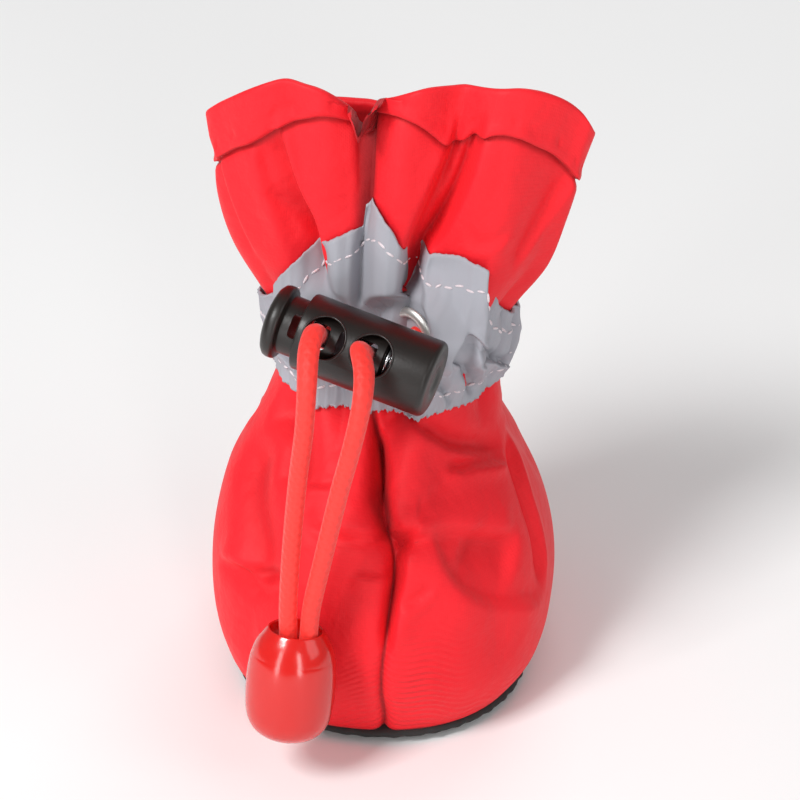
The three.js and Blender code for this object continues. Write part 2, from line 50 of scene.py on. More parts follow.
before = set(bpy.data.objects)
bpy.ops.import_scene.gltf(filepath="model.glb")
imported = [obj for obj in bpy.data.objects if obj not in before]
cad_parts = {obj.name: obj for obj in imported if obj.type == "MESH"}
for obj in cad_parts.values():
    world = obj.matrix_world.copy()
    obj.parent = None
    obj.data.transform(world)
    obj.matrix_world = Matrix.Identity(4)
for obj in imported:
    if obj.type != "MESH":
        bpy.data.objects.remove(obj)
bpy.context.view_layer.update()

MM = 0.001  # the tables and the surface functions are in millimetres, and Blender is in metres


def table(columns, *rows):
    """Rows of numbers as one array for each named column."""
    return dict(zip(columns.split(), np.array(rows, dtype=float).T))


# Sole
SOLE_THICK = 2.6
SOLE_HALF_WIDTH = 22.4
SOLE_MIDDLE_X = 0.9
SOLE_TOE_Y = -31.4
SOLE_HEEL_Y = 27.2
SOLE_BALL_Y = -8
SOLE_TOE_POWER = 0.92
SOLE_HEEL_POWER = 0.72
SOLE_ARCH_IN = 1.6
TOE_SPRING = 0.9
SOLE_COLUMNS = 360
SOLE_RIM_WAVE = 0.004  # unevenness of the cut rim, as a share of the size
DOT_PITCH = 3.2
DOT_R = 0.95
INSOLE_THICK = 1
INSOLE_IN = 4

# Upper
UPPER_BOTTOM_Z = 2.9
COLLAR_Z = 88
FRONT_CROWDING = 0.34  # columns lie closer at the front, where the folds are
CLOTH_THICK = 0.8
UPPER_COLUMNS = 360
WALL_ROWS = 170
LINING_ROWS = 60

# The upper's level sections: the foremost and rearmost points, the reach to the left and right,
# the place of the widest line, and how square the outline is towards the toe and the heel.
SECTIONS = table(
    "z front back left right beam toe heel",
    (2.9, -30.8, 26.7, 21.0, 22.8, -8.5, 2.25, 2.8),
    (6, -32.2, 28.0, 23.2, 25.2, -8, 2.2, 2.75),
    (11, -33.8, 29.0, 24.9, 26.4, -7, 2.1, 2.6),
    (17, -33.6, 29.0, 25.5, 26.2, -6, 2.05, 2.4),
    (24, -31.8, 27.8, 25.0, 24.8, -4.8, 2.1, 2.15),
    (31, -28.4, 25.4, 23.4, 22.2, -3.2, 2.05, 2),
    (36, -24.6, 22.8, 21.2, 19.6, -1.6, 2, 1.9),
    (40, -21.1, 21.4, 19.0, 18.0, 0.4, 2, 2),
    (45, -16.4, 19.2, 16.8, 17.3, 1.8, 2, 2),
    (50, -12.2, 17.4, 15.5, 17.0, 2.4, 2, 2),
    (55, -10.4, 15.6, 15.8, 17.2, 2.6, 2, 2),
    (61, -9.6, 14.2, 19.6, 19.8, 2.4, 2, 2),
    (67, -9.2, 13.4, 22.9, 23.6, 2, 2, 2),
    (74, -8.6, 12.2, 24.7, 26.0, 1.4, 2, 2),
    (81, -8.0, 10.6, 25.2, 27.8, 0.8, 2, 2),
    (COLLAR_Z, -7.4, 8.8, 25.9, 30.0, 0.3, 2, 2),
)

# Height of the collar's edge round the shaft. Angle 0 is the front, 90 the right side.
COLLAR_EDGE = table(
    "angle z",
    (-180, 87.5),
    (-120, 87.5),
    (-90, 88),
    (-62, 92),
    (-34, 97.5),
    (-22, 97.5),
    (-16, 96.7),
    (-9, 93.8),
    (-6, 91.8),
    (-4.4, 90),
    (-3, 92.8),
    (-1.5, 94.2),
    (4, 96),
    (13, 98),
    (24, 97.6),
    (42, 98.6),
    (57, 96.7),
    (71, 93.6),
    (88, 89.4),
    (120, 88),
    (180, 87.5),
)
EDGE_RISE_FROM_Z = 62

# Level of the hem's lower edge round the shaft.
HEM_EDGE = table(
    "angle level",
    (-180, 80),
    (-82, 79.8),
    (-56, 80.9),
    (-44, 81),
    (-30, 82.4),
    (-16, 84.6),
    (-10, 85.9),
    (-5.5, 87.2),
    (-4, 87.2),
    (-1, 86.6),
    (5.5, 85.5),
    (11, 83.9),
    (16, 82.2),
    (20.5, 81),
    (26, 81.1),
    (30, 81.9),
    (35, 82.6),
    (43, 82.3),
    (54, 81.4),
    (78, 80.3),
    (120, 80),
    (180, 80),
)

# The section of the hem from the cloth below it to the collar's edge: how far up from the hem's
# lower edge, and how far out from the cloth.
HEM_SECTION = table(
    "up out",
    (-2.2, 0),
    (-1.6, 0),
    (-1, -0.12),
    (-0.6, -0.3),
    (-0.3, -0.5),
    (-0.1, -0.56),
    (0, -0.3),
    (0, 0.05),
    (-0.02, 0.3),
    (0, 0.5),
    (0.1, 0.68),
    (0.28, 0.8),
    (0.5, 0.84),
    (0.8, 0.82),
    (1.15, 0.74),
    (1.5, 0.66),
    (1.9, 0.6),
    (2.3, 0.58),
)
HEM_ROWS = 14
HEM_SIDE_THINNING = 0.65  # how much flatter the hem lies at the two sides
HEM_SIDE_WIDTH = 28  # in degrees round each side

# Pits where the hem's stitches pull it in, and a slow waviness of its edge.
HEM_STITCH_PITCH = 7  # in degrees
HEM_STITCH_UP = 1.9
HEM_PIT_DEPTH = 0.14
HEM_PIT_SIZE = (0.5, 0.55)  # half its width and its height
HEM_MM_PER_DEGREE = 0.42
HEM_WAVE = 0.14

# The wall's lower edge: how far each tucked row goes in and down behind the sole's rim, and how
# far the cloth sags over the rim.
TUCK_ROWS = 3
TUCK_IN = 0.28
TUCK_DOWN = 0.2
SAG_OVER_RIM = 0.6
SAG_BELOW_Z = 8

# The section of the collar's edge: level below the top, and how far out from the cloth.
RIM_SECTION = table(
    "down out",
    (0.6, 0.56),
    (0.35, 0.5),
    (0.12, 0.36),
    (0.0, 0.12),
    (0.0, -0.24),
    (0.1, -0.52),
    (0.3, -0.72),
    (0.6, -CLOTH_THICK),
)

# Heights of the reflective band's edges round the ankle. They jump at the front seam.
BAND_EDGES = table(
    "angle low high",
    (-180, 46, 65),
    (-125, 46, 63),
    (-90, 47, 59),
    (-72, 48, 59.6),
    (-54, 47, 61.1),
    (-38, 46, 65.8),
    (-24.5, 47.6, 69.2),
    (-16.5, 48.4, 71),
    (-9.5, 48, 72.6),
    (-4.9, 48, 73.8),
    (-4.4, 48, 77),
    (-2.5, 48, 76.3),
    (0.5, 48.2, 75.2),
    (5.5, 48.4, 73.2),
    (9.5, 48.4, 70.7),
    (14, 48.2, 69.6),
    (21.5, 46.8, 69.9),
    (28, 47.2, 70.1),
    (38.5, 47.6, 69.2),
    (42, 47.6, 66.6),
    (54, 47.4, 62.8),
    (66, 47.2, 60.2),
    (78, 47.4, 58.6),
    (90, 47.6, 58.4),
    (125, 46, 63),
    (180, 46, 65),
)

# Levels of the two sewn lines on the band.
STITCH_LINES = table(
    "angle low high",
    (-180, 48.4, 62),
    (-125, 48.4, 60),
    (-90, 49.4, 56),
    (-72, 50.4, 56.6),
    (-54, 49.4, 58.4),
    (-38, 48.4, 63),
    (-24, 50, 66.6),
    (-17.5, 50.6, 68.6),
    (-10.5, 50.2, 70.1),
    (-5.4, 50.2, 71),
    (-4.2, 50.2, 72.4),
    (2.5, 50.4, 72),
    (7.5, 50.6, 70.4),
    (11, 50.6, 68.4),
    (15.5, 50.4, 67.5),
    (20, 49.2, 67.1),
    (31, 49.6, 67.2),
    (39, 50, 67.2),
    (43, 50, 63.6),
    (54, 49.8, 59.8),
    (66, 49.6, 57.4),
    (78, 49.8, 55.6),
    (90, 50, 55.4),
    (125, 48.4, 60),
    (180, 48.4, 62),
)

BAND_GAP = 0.8  # from the cloth to the band
BAND_THICK = 0.8
CHANNEL_Z = 57
CHANNEL_HALF_HEIGHT = 9
CHANNEL_BULGE = 1.0
BAND_EDGE_GAP = 0.25  # the sewn edges lie this close to the cloth
BAND_HEM = 3.3  # the stitched line's distance from the band's edges
BAND_COLUMNS = 540
BAND_ROWS = 84
BAND_LINING_ROWS = 14
TAPE_THICK = 0.55
# The tape's rounded edge: how far past the band's height, as a share of it, and how far out.
BAND_EDGE_SECTION = table("past thick", (0.006, 0.65), (0.008, 0.45), (0.006, 0.28))

# The angle at which the centre-front seam runs at each height.
SEAM_PATH = table(
    "z angle",
    (3, 8.5),
    (12, 8.5),
    (22, 10.8),
    (31, 14.5),
    (37, 12),
    (43, 7.5),
    (48, 0),
    (56, -5),
    (70, -4.5),
    (80, -3.8),
    (100, -3.4),
)
SEAM_DEPTH = 0.7
SEAM_WIDTH = 4.5
SEAM_LINE_DEPTH = 0.5
SEAM_LINE_WIDTH = 0.5
# Dark lines painted on the nylon: the seam's stitched line with painted shade of its thin groove,
# and a painted shadow under the hem.
SEAM_SHADE_WIDTH = 0.4
REAR_SEAM_SHADE = 0.4
HEM_LINE_SHADE = 0.7

# Creases fade towards both ends, and are evened out with their neighbours on the grid.
CREASE_STEPS = 5
CREASE_REACH = 2.6  # in widths
CREASE_TAPER = 0.22  # as a share of the crease's length
SOFTENING = 1


class Fold(NamedTuple):
    """A main fold at the ankle. Pairs run from its low to its high end, in degrees and mm."""

    name: str
    z: tuple
    angle: tuple
    width: tuple
    depth: tuple


FOLDS = (
    Fold("collar notch", (62, 96), (-3, -3), (12, 16), (0.6, 3.8)),
    Fold("left valley", (45, 89), (-16, -30), (14, 14), (2.0, 1.6)),
    Fold("left petal", (62, 100), (-24, -40), (26, 34), (-0.6, -1.4)),
    Fold("centre lobe", (48, 82), (1, 7), (10, 13), (-0.4, -0.7)),
    Fold("right valley", (46, 95), (13, 26), (15, 14), (1.8, 3.0)),
    Fold("right pleat", (48, 90), (36, 46), (24, 26), (-3.2, -1.2)),
    Fold("right tuck", (45, 68), (66, 68), (16, 14), (1.8, 0.6)),
    Fold("right edge fold", (58, 100), (84, 76), (14, 16), (-0.8, -0.8)),
    Fold("left tuck", (45, 66), (-50, -52), (16, 14), (1.6, 0.8)),
    Fold("left rear tuck", (43, 70), (-100, -98), (15, 13), (1.8, 0.6)),
    Fold("rear left pleat", (44, 76), (-138, -134), (17, 16), (2.4, 0.8)),
    Fold("rear seam", (6, 94), (180, 180), (10, 9), (0.9, 0.9)),
    Fold("rear right pleat", (44, 76), (140, 136), (17, 16), (2.4, 0.8)),
    Fold("right rear tuck", (43, 70), (103, 100), (15, 13), (1.8, 0.6)),
    Fold("toe tuck", (26, 50), (13, 8), (11, 13), (1.2, 1.6)),
    Fold("toe ridge", (28, 50), (27, 22), (14, 14), (-0.8, -1.2)),
    Fold("left toe dent", (12, 32), (-40, -38), (22, 20), (0.8, 0.8)),
    Fold("right toe dent", (14, 34), (52, 48), (20, 20), (1.0, 0.8)),
)
FOLD_FADE = 6
FOLD_ROUNDING = 0.12


class Crease(NamedTuple):
    """A crease along a route of (angle, level) points. Left and right of it, seen from outside,
    the cloth stands (height, width) mm proud, and softness is the half-width of the change."""

    name: str
    left: tuple
    right: tuple
    softness: float
    route: tuple


TOE_CREASES = (
    Crease("flap edge", (2.3, 4.6), (-3.6, 2.6), 0.4, (
        (1, 48), (3.4, 46.2), (7.5, 45), (11.2, 42), (11.4, 39), (12.6, 36.3), (16, 35),
        (21.5, 34), (30, 33.7),
    )),
    Crease("hollow beside the flap", (-1.9, 2.6), (-1.9, 2.6), 0.6, (
        (2, 49), (4, 43), (4.5, 39.6), (3, 36),
    )),
    Crease("seam valley", (1.4, 3.2), (-2.3, 1.6), 0.4, (
        (25, 36), (20.5, 33.8), (17, 31.8), (16, 29.6), (13.8, 26.6), (12.5, 24), (11.6, 18),
    )),
    Crease("middle cross crease", (0.9, 2.4), (-1.0, 1.3), 0.35, (
        (-24, 34.8), (-12.5, 34.4), (-5, 34.1), (4, 34.4), (13, 35.1),
    )),
    Crease("upper cross crease", (-0.9, 1.3), (0.6, 1.6), 0.35, (
        (-27, 38.4), (-17.5, 39), (-9, 39.7),
    )),
    Crease("crease under the band", (-2.3, 2.4), (1.0, 2.6), 1.0, (
        (16, 47.4), (24.5, 45.6), (31, 44.6), (43, 42.6), (57, 40.6), (84, 36.6),
    )),
    Crease("right upper crease", (-1.7, 1.6), (1.0, 2.2), 0.3, (
        (36, 40.8), (46, 39.6), (58.5, 38.6), (80, 35.9),
    )),
    Crease("right middle crease", (1.3, 4.5), (-1.0, 3.6), 1.1, (
        (18, 35), (26, 34.1), (39, 33.4), (54.5, 30.9), (72, 27.4),
    )),
    Crease("right dimple", (-1.4, 4.4), (-1.4, 4.4), 1.0, (
        (43, 32), (50, 29.2), (57.5, 27.6), (66, 25),
    )),
    Crease("lower right arc", (-0.8, 4.6), (1.0, 4.4), 1.2, (
        (30, 36), (32, 30.4), (36.5, 27.1), (43.5, 24.1), (57, 20.4), (82, 15),
    )),
    Crease("right side valley", (0.8, 2.2), (-1.4, 2.4), 0.6, (
        (92, 38), (86, 33.6), (83.5, 29.6), (83, 24), (79, 16),
    )),
    Crease("left hollow under the band", (-2.4, 3.0), (-2.4, 3.0), 0.8, (
        (-64, 45.4), (-46, 43.9), (-38, 42.4), (-30, 37),
    )),
    Crease("left tall hollow", (-2.3, 3.6), (-2.3, 3.6), 1.0, (
        (-66, 40), (-54.5, 34.6), (-46, 31.4), (-39.5, 28.1), (-30, 23),
    )),
    Crease("left cross crease", (0.8, 3.2), (-1.3, 2.8), 0.9, (
        (-64, 22.5), (-42.5, 25.4), (-22, 28.8),
    )),
    Crease("left curl", (0.2, 2.6), (-0.9, 2.4), 0.6, ((-56, 25), (-37, 23.4), (-20, 27.6))),
    Crease("crease right of the seam", (-0.6, 1.3), (0.5, 1.6), 0.35, (
        (13, 24.8), (19.5, 25.6), (28, 27.4),
    )),
    Crease("crease left of the seam", (-0.6, 1.2), (0.5, 1.5), 0.35, (
        (-3, 29.8), (7.5, 29.4), (15, 29.2),
    )),
    Crease("low left soft crease", (0.5, 3.0), (-0.5, 2.6), 0.8, (
        (-40, 14), (-24, 17.5), (-6, 18.5),
    )),
)
SHAFT_CREASES = (
    Crease("left valley", (0.8, 3.2), (-2.4, 3.6), 0.8, (
        (-36, 84), (-31, 78), (-27, 74.4), (-22.5, 71.8), (-20, 68), (-18, 62),
    )),
    Crease("left valley's crease", (-0.8, 1.8), (0.4, 2.2), 0.5, (
        (-44, 75), (-35, 73), (-28, 71.6), (-22, 69),
    )),
    Crease("right pleat edge", (1.6, 3.4), (-3.4, 2.0), 0.5, (
        (32, 86), (30.5, 80.5), (27.5, 76.5), (22.3, 72.3), (17, 69.8), (15.6, 66), (18, 62),
        (21, 56),
    )),
    Crease("centre lobe edge", (-1.8, 1.6), (1.0, 2.8), 0.5, (
        (24, 86), (22, 80), (16, 75), (11, 71), (10, 68), (8, 64), (7, 58),
    )),
    Crease("right pleat soft crease", (0.6, 3.4), (-0.9, 2.6), 0.8, (
        (82, 82), (68.5, 74.7), (52, 67.5),
    )),
    Crease("right pleat tuck", (-0.7, 1.2), (0.4, 1.4), 0.4, ((28, 72), (36, 71), (48, 72))),
    Crease("centre lobe crest", (0.5, 2.4), (0.5, 2.4), 0.5, ((6, 87), (5.5, 79), (6, 72))),
    Crease("lap of the seam", (0, 1), (1.3, 1.6), 0.3, (
        (-7, 98), (-4.6, 92), (-3.9, 86), (-4, 78), (-4.6, 70),
    )),
    Crease("left petal hollow", (-0.7, 3.0), (-0.7, 3.0), 0.8, (
        (-17, 87), (-13, 81.4), (-12, 77.9), (-14, 71),
    )),
    Crease("left outer crease", (-0.8, 2.6), (0.5, 3.0), 0.7, ((-46, 82), (-40, 75), (-30, 69))),
    Crease("left outer soft crease", (0.5, 3.0), (-0.8, 3.0), 0.8, (
        (-78, 84), (-66, 76), (-52, 66),
    )),
    Crease("rear left crease", (-1.0, 3.2), (-1.0, 3.2), 0.8, (
        (-120, 86), (-126, 74), (-130, 60),
    )),
    Crease("rear right crease", (-1.0, 3.2), (-1.0, 3.2), 0.8, ((125, 86), (130, 74), (136, 60))),
    Crease("rear middle crease", (0.6, 2.6), (-0.9, 2.6), 0.6, (
        (-160, 82), (-166, 72), (-164, 58),
    )),
    Crease("right side crease", (-0.9, 2.8), (0.5, 2.8), 0.6, ((104, 84), (100, 72), (98, 58))),
    Crease("left side crease", (0.5, 2.8), (-0.9, 2.8), 0.6, (
        (-108, 84), (-102, 72), (-100, 58),
    )),
)
HEEL_CREASES = (
    Crease("left heel pucker", (-0.9, 3.6), (-0.9, 3.6), 1.0, (
        (-96, 44), (-104, 34), (-112, 24),
    )),
    Crease("left heel soft crease", (0.5, 3.0), (-0.8, 3.0), 0.8, (
        (-128, 42), (-132, 30), (-140, 20),
    )),
    Crease("right heel pucker", (-0.9, 3.6), (-0.9, 3.6), 1.0, ((100, 44), (108, 34), (116, 24))),
    Crease("right heel soft crease", (-0.8, 3.0), (0.5, 3.0), 0.8, (
        (134, 42), (138, 30), (146, 20),
    )),
    Crease("rear left pucker", (-0.7, 2.6), (-0.7, 2.6), 0.7, (
        (-160, 44), (-164, 34), (-170, 26),
    )),
    Crease("rear right pucker", (-0.7, 2.6), (-0.7, 2.6), 0.7, ((158, 44), (163, 33), (170, 24))),
    Crease("left cross pucker", (-0.5, 1.8), (0.4, 2.0), 0.5, (
        (-84, 40), (-100, 38), (-122, 39),
    )),
    Crease("right cross pucker", (0.4, 2.0), (-0.5, 1.8), 0.5, (
        (86, 39), (104, 37.6), (126, 39),
    )),
)
BAND_CREASES = (
    Crease("gap of the left strips", (-2.2, 1.3), (-2.2, 1.3), 0.3, (
        (-21, 72), (-19.5, 69.5), (-19, 67), (-17.6, 61), (-17, 54),
    )),
    Crease("left strip", (0.9, 3.0), (0.9, 3.0), 0.5, ((-31, 68), (-33, 60), (-34, 50))),
    Crease("second strip", (0.7, 2.2), (0.7, 2.2), 0.5, ((-11.5, 74), (-12, 64), (-12, 50))),
    Crease("third strip", (0.8, 2.4), (0.8, 2.4), 0.5, ((2.5, 77), (2.5, 66), (1, 50))),
    Crease("dark gap beside the third strip", (-2.6, 1.7), (-1.4, 1.0), 0.3, (
        (11, 73), (11.5, 68), (10.5, 63), (10, 57),
    )),
    Crease("step of the right strips", (-2.0, 2.4), (1.2, 3.0), 0.3, (
        (38.5, 72), (39.5, 69), (40, 66.9), (42, 64.9), (44.5, 61.9), (47, 57), (50, 52),
    )),
    Crease("slit of the crumple", (-2.8, 0.9), (-2.8, 0.9), 0.3, (
        (37, 62.8), (38, 59.6), (38.5, 57.4), (41, 54.1), (51, 48),
    )),
    Crease("left wing of the crumple", (-0.9, 1.2), (1.1, 1.2), 0.3, (
        (38, 62.2), (34.5, 60.8), (32.3, 58.1), (32.5, 53),
    )),
    Crease("right wing of the crumple", (1.0, 1.2), (-1.1, 1.2), 0.3, (
        (35.5, 62.2), (41, 60.8), (47.5, 58.4),
    )),
    Crease("right lip of the slit", (1.3, 1.5), (0.7, 0.9), 0.3, (
        (40.5, 60.5), (41.6, 57.4), (44.5, 54.6), (55, 48.6),
    )),
    Crease("seam of the band", (-1.2, 0.6), (-1.5, 0.7), 0.3, (
        (-3.6, 79), (-4.5, 74.4), (-5.5, 70.4), (-6, 66.2), (-6.5, 60),
    )),
    Crease("right strip crease", (-1.6, 1.3), (1.4, 1.6), 0.3, (
        (42, 57), (56, 54), (70, 50.9), (88, 48.4),
    )),
    Crease("right end crease", (-1.2, 1.4), (0.9, 1.6), 0.35, ((62, 61), (66, 56), (64, 49))),
    Crease("left end crease", (0.8, 1.8), (-1.6, 1.6), 0.35, ((-42, 66), (-47, 60), (-50, 50))),
    Crease("left low crease", (-1.0, 1.2), (0.9, 1.4), 0.3, (
        (-66, 52.5), (-50, 50.5), (-30, 49.5),
    )),
    Crease("low middle crease", (-0.9, 1.2), (0.7, 1.4), 0.3, (
        (-8, 51.5), (6, 50.6), (22, 51.2),
    )),
    Crease("low pleat crease", (-1.0, 1.1), (0.8, 1.3), 0.3, (
        (22, 53.5), (30, 50.6), (36, 47.5),
    )),
    Crease("rear flute a", (-1.6, 1.4), (0.9, 1.6), 0.4, ((-150, 66), (-150, 56), (-150, 45))),
    Crease("rear flute b", (-1.6, 1.4), (0.9, 1.6), 0.4, ((-118, 64), (-119, 56), (-118, 45))),
    Crease("rear flute c", (0.9, 1.6), (-1.6, 1.4), 0.4, ((-84, 60), (-85, 53), (-84, 46))),
    Crease("rear flute d", (0.9, 1.6), (-1.6, 1.4), 0.4, ((88, 60), (89, 53), (88, 46))),
    Crease("rear flute e", (0.9, 1.6), (-1.6, 1.4), 0.4, ((118, 64), (120, 56), (119, 45))),
    Crease("rear flute f", (0.9, 1.6), (-1.6, 1.4), 0.4, ((156, 66), (155, 56), (155, 45))),
    Crease("rear flute g", (0.9, 1.6), (-1.2, 1.4), 0.4, ((178, 66), (176, 56), (178, 45))),
)

# The pleat's edge, which laps over the right eyelet.
OVERLAP = Crease("pleat over the eyelet", (2.3, 3.8), (0, 1), 0.35, (
    (15.2, 68.5), (18.5, 65.6), (22.6, 63.4), (25.2, 60.5), (26.6, 57.5), (27.5, 53),
))

# Eyelets: where each sits on the band, and the way it faces.
EYELET_HOLE_R = 2.6
EYELET_FLANGE_R = 4.2
EYELET_THICK = 0.9
BAND_HOLE_R = 2.4
BAND_HOLE_SHIFT = {"left": 0, "right": -0.7}
EYELETS = (
    ("left", (-7.4, -8.0, 59.6), (-0.16, -0.987, 0)),
    ("right", (7.2, -8.4, 60), (-0.6, -0.8, 0)),
)
PAD_FLAT_R = 5.2
PAD_BLEND_R = 7.6
PAD_REACH = 8

# Cord lock
LOCK_CENTRE = (1.0, -22, 62.9)
LOCK_AXIS = (0.958, -0.204, -0.204)
LOCK_HOLES_FACE = (0.1, -0.83, 0.55)
BARREL_LENGTH = 20.2
BARREL_R = 5.65
BARREL_BORE_R = 4.6
BARREL_END_WALL = 1.7
LOCK_HOLE_R = 3.05
LOCK_HOLES_FROM_MOUTH = {"left": 4.2, "right": 11.4}
PLUNGER_R = 4.3
PLUNGER_HEAD_R = 5.4
PLUNGER_HEAD_THICK = 2.4
PLUNGER_TRAVEL = 2.5
PLUNGER_REST_GAP = 2.8
PLUNGER_INSIDE = 13
SLOT_HALF_WIDTH = 1.8
MOUTH_X = -BARREL_LENGTH / 2
SPRING_R = 3.3
SPRING_WIRE_R = 0.28
SPRING_TURNS = 4.5

# Draw cord
CORD_R = 1.35
CORD_PINCH = 1.4
CORD_CLEAR = 0.3
CORD_SIDES = 20
CORD_STEP = 0.35
# The cord is pressed wider where it bends down in front of the lock.
CORD_BEND_FROM_LOCK = 9
CORD_BEND_LENGTH = 6
CORD_BEND_SWELL = 0.2
CORD_ROUTES = {
    "left": (
        ((-7.6, -9.3, 59.6), (-7.6, -11.0, 59.4), (-7.1, -13.0, 59.4)),
        (
            (-6.4, -30.0, 67.4),
            (-6.1, -33.4, 64.2),
            (-6.3, -35.2, 58),
            (-7.2, -36.0, 50),
            (-8.1, -36.8, 39.5),
            (-8.6, -37.8, 30),
            (-8.6, -38.5, 23.6),
        ),
    ),
    "right": (
        ((6.75, -9.65, 60), (5.9, -11.6, 59.6), (4.2, -13.8, 58.7)),
        (
            (1.6, -31.0, 65.6),
            (1.7, -34.0, 62.4),
            (0.6, -35.6, 56.5),
            (-1.3, -36.2, 48.5),
            (-3.7, -36.9, 37),
            (-5.2, -37.8, 29.5),
            (-5.7, -38.4, 23.6),
        ),
    ),
}

# Bell that ends the cord
BELL_CENTRE = (-8.2, -39.2, 16.6)
BELL_HEIGHT = 17.5
BELL_FLATTEN = 0.86
BELL_TILT = (-0.2, 0.07)
BELL_PROFILE = table(
    "up r",
    (0.2, 0),
    (-0.25, 1.2),
    (-0.1, 2.4),
    (0.3, 3.6),
    (0.9, 4.6),
    (1.7, 5.4),
    (2.7, 5.95),
    (3.9, 6.3),
    (5.5, 6.5),
    (7.5, 6.6),
    (9.6, 6.6),
    (11.4, 6.5),
    (12.9, 6.3),
    (13.3, 6.2),
    (13.5, 6.1),
    (13.7, 6.1),
    (14.7, 5.8),
    (15.7, 5.3),
    (16.5, 4.75),
    (17.1, 4.35),
    (17.45, 4.1),
    (17.5, 3.95),
    (17.4, 3.8),
    (17.1, 3.72),
    (15.2, 3.6),
    (15.2, 0),
)

VIEW_AZIMUTH = 8  # degrees to the right of straight ahead of the toe
VIEW_ELEVATION = 33
VIEW_TARGET = (3, -5, 44.6)


class BootieSizes(bpy.types.PropertyGroup):
    """Sizes of the parts that a maker would change."""

    cord_thickness: FloatProperty(
        name="Cord Thickness",
        description="Diameter of the elastic draw cord",
        default=2 * CORD_R * MM,
        min=0.001,
        unit="LENGTH",
    )
    weave_pitch: FloatProperty(
        name="Weave Pitch",
        description="Distance between two threads of the nylon",
        default=0.00042,
        min=0.0001,
        unit="LENGTH",
    )
    stitch_pitch: FloatProperty(
        name="Stitch Pitch",
        description="Distance from one stitch to the next on the band",
        default=0.0021,
        min=0.0005,
        unit="LENGTH",
    )
    spring_turns: FloatProperty(
        name="Spring Turns",
        description="Turns of the spring in the cord lock",
        default=SPRING_TURNS,
        min=2,
    )


def colour_setting(name, description, default):
    return FloatVectorProperty(
        name=name, description=description, default=default, size=3, subtype="COLOR"
    )


class BootieColours(bpy.types.PropertyGroup):
    """Colours of the finishes."""

    cloth: colour_setting("Nylon", "Colour of the upper's nylon", (0.88, 0.014, 0.024))
    tape: colour_setting(
        "Reflective Tape", "Colour of the band round the ankle", (0.29, 0.285, 0.315)
    )
    rubber: colour_setting("Sole Rubber", "Colour of the outsole", (0.016, 0.014, 0.013))
    lock: colour_setting("Lock Plastic", "Colour of the cord lock", (0.009, 0.0065, 0.0055))
    bell: colour_setting("Bell Plastic", "Colour of the moulded bell", (0.66, 0.008, 0.005))
    cord: colour_setting("Elastic Cord", "Colour of the draw cord", (0.92, 0.03, 0.02))


class BootieStage(bpy.types.PropertyGroup):
    """Camera and light of the stage."""

    camera_distance: FloatProperty(
        name="Camera Distance",
        description="Distance from the camera to the middle of the bootie",
        default=0.5,
        unit="LENGTH",
    )
    lens: FloatProperty(
        name="Lens",
        description="Focal length of the camera",
        default=151,
        unit="CAMERA",
    )
    brightness: FloatProperty(
        name="Brightness",
        description="Strength of all lights together",
        default=1.0,
        min=0,
    )


# Numbers and tables


def smooth(low, high, value):
    """A soft step from 0 at low to 1 at high."""
    share = np.clip((value - low) / (high - low), 0, 1)
    return share * share * (3 - 2 * share)


def read_table(rows, key, column, at):
    """A table's column read at a key, on a smooth curve through its rows."""
    keys, values = rows[key], rows[column]
    slopes = np.empty(len(keys))
    slopes[1:-1] = (values[2:] - values[:-2]) / (keys[2:] - keys[:-2])
    slopes[0] = (values[1] - values[0]) / (keys[1] - keys[0])
    slopes[-1] = (values[-1] - values[-2]) / (keys[-1] - keys[-2])
    i = np.clip(np.searchsorted(keys, at) - 1, 0, len(keys) - 2)
    span = keys[i + 1] - keys[i]
    t = np.clip((at - keys[i]) / span, 0, 1)
    rise = 3 * t**2 - 2 * t**3
    return (
        (1 - rise) * values[i]
        + rise * values[i + 1]
        + (t**3 - 2 * t**2 + t) * slopes[i] * span
        + (t**3 - t**2) * slopes[i + 1] * span
    )


def read_straight(rows, key, column, at):
    return np.interp(at, rows[key], rows[column])


def wrap_degrees(angle):
    return (angle + 180) % 360 - 180


def unit(vectors):
    return vectors / np.linalg.norm(vectors, axis=-1, keepdims=True)


def smooth_route(points, steps):
    """Points on a smooth curve through a route's points."""
    points = np.array(points, dtype=float)
    padded = np.vstack([2 * points[0] - points[1], points, 2 * points[-1] - points[-2]])
    t = np.linspace(0, 1, steps, endpoint=False)[:, None]
    pieces = []
    for before, start, end, after in zip(padded, padded[1:], padded[2:], padded[3:]):
        first, last = (end - before) / 2, (after - start) / 2
        rise = 3 * t**2 - 2 * t**3
        pieces.append(
            (1 - rise) * start + rise * end + (t**3 - 2 * t**2 + t) * first + (t**3 - t**2) * last
        )
    return np.vstack([*pieces, points[-1:]])


def run_lengths(points):
    """How far along a route each of its points lies."""
    steps = np.linalg.norm(np.diff(points, axis=0), axis=1)
    return np.concatenate(([0], np.cumsum(steps)))


def even_points(points, spacing):
    """The points of a route spaced evenly along it."""
    lengths = run_lengths(points)
    count = max(int(lengths[-1] / spacing), 2)
    at = np.linspace(0, lengths[-1], count + 1)
    return np.stack([np.interp(at, lengths, points[:, k]) for k in range(3)], axis=1)


# Surface of the cloth


def base_point(angle, level):
    """A point of the plain section at a level, with no folds."""

    def read(column):
        return read_table(SECTIONS, "z", column, level)

    s, c = np.sin(np.radians(angle)), np.cos(np.radians(angle))
    power = 2 / np.where(c > 0, read("toe"), read("heel"))
    beam = read("beam")
    x = np.sign(s) * np.abs(s) ** power * np.where(s < 0, read("left"), read("right"))
    reach = np.where(c > 0, read("front"), read("back")) - beam
    edge = read_table(COLLAR_EDGE, "angle", "z", wrap_degrees(angle))
    rise = (edge - COLLAR_Z) * smooth(EDGE_RISE_FROM_Z, COLLAR_Z, level)
    return np.stack([x, beam + reach * np.abs(c) ** power, level + rise], axis=-1)


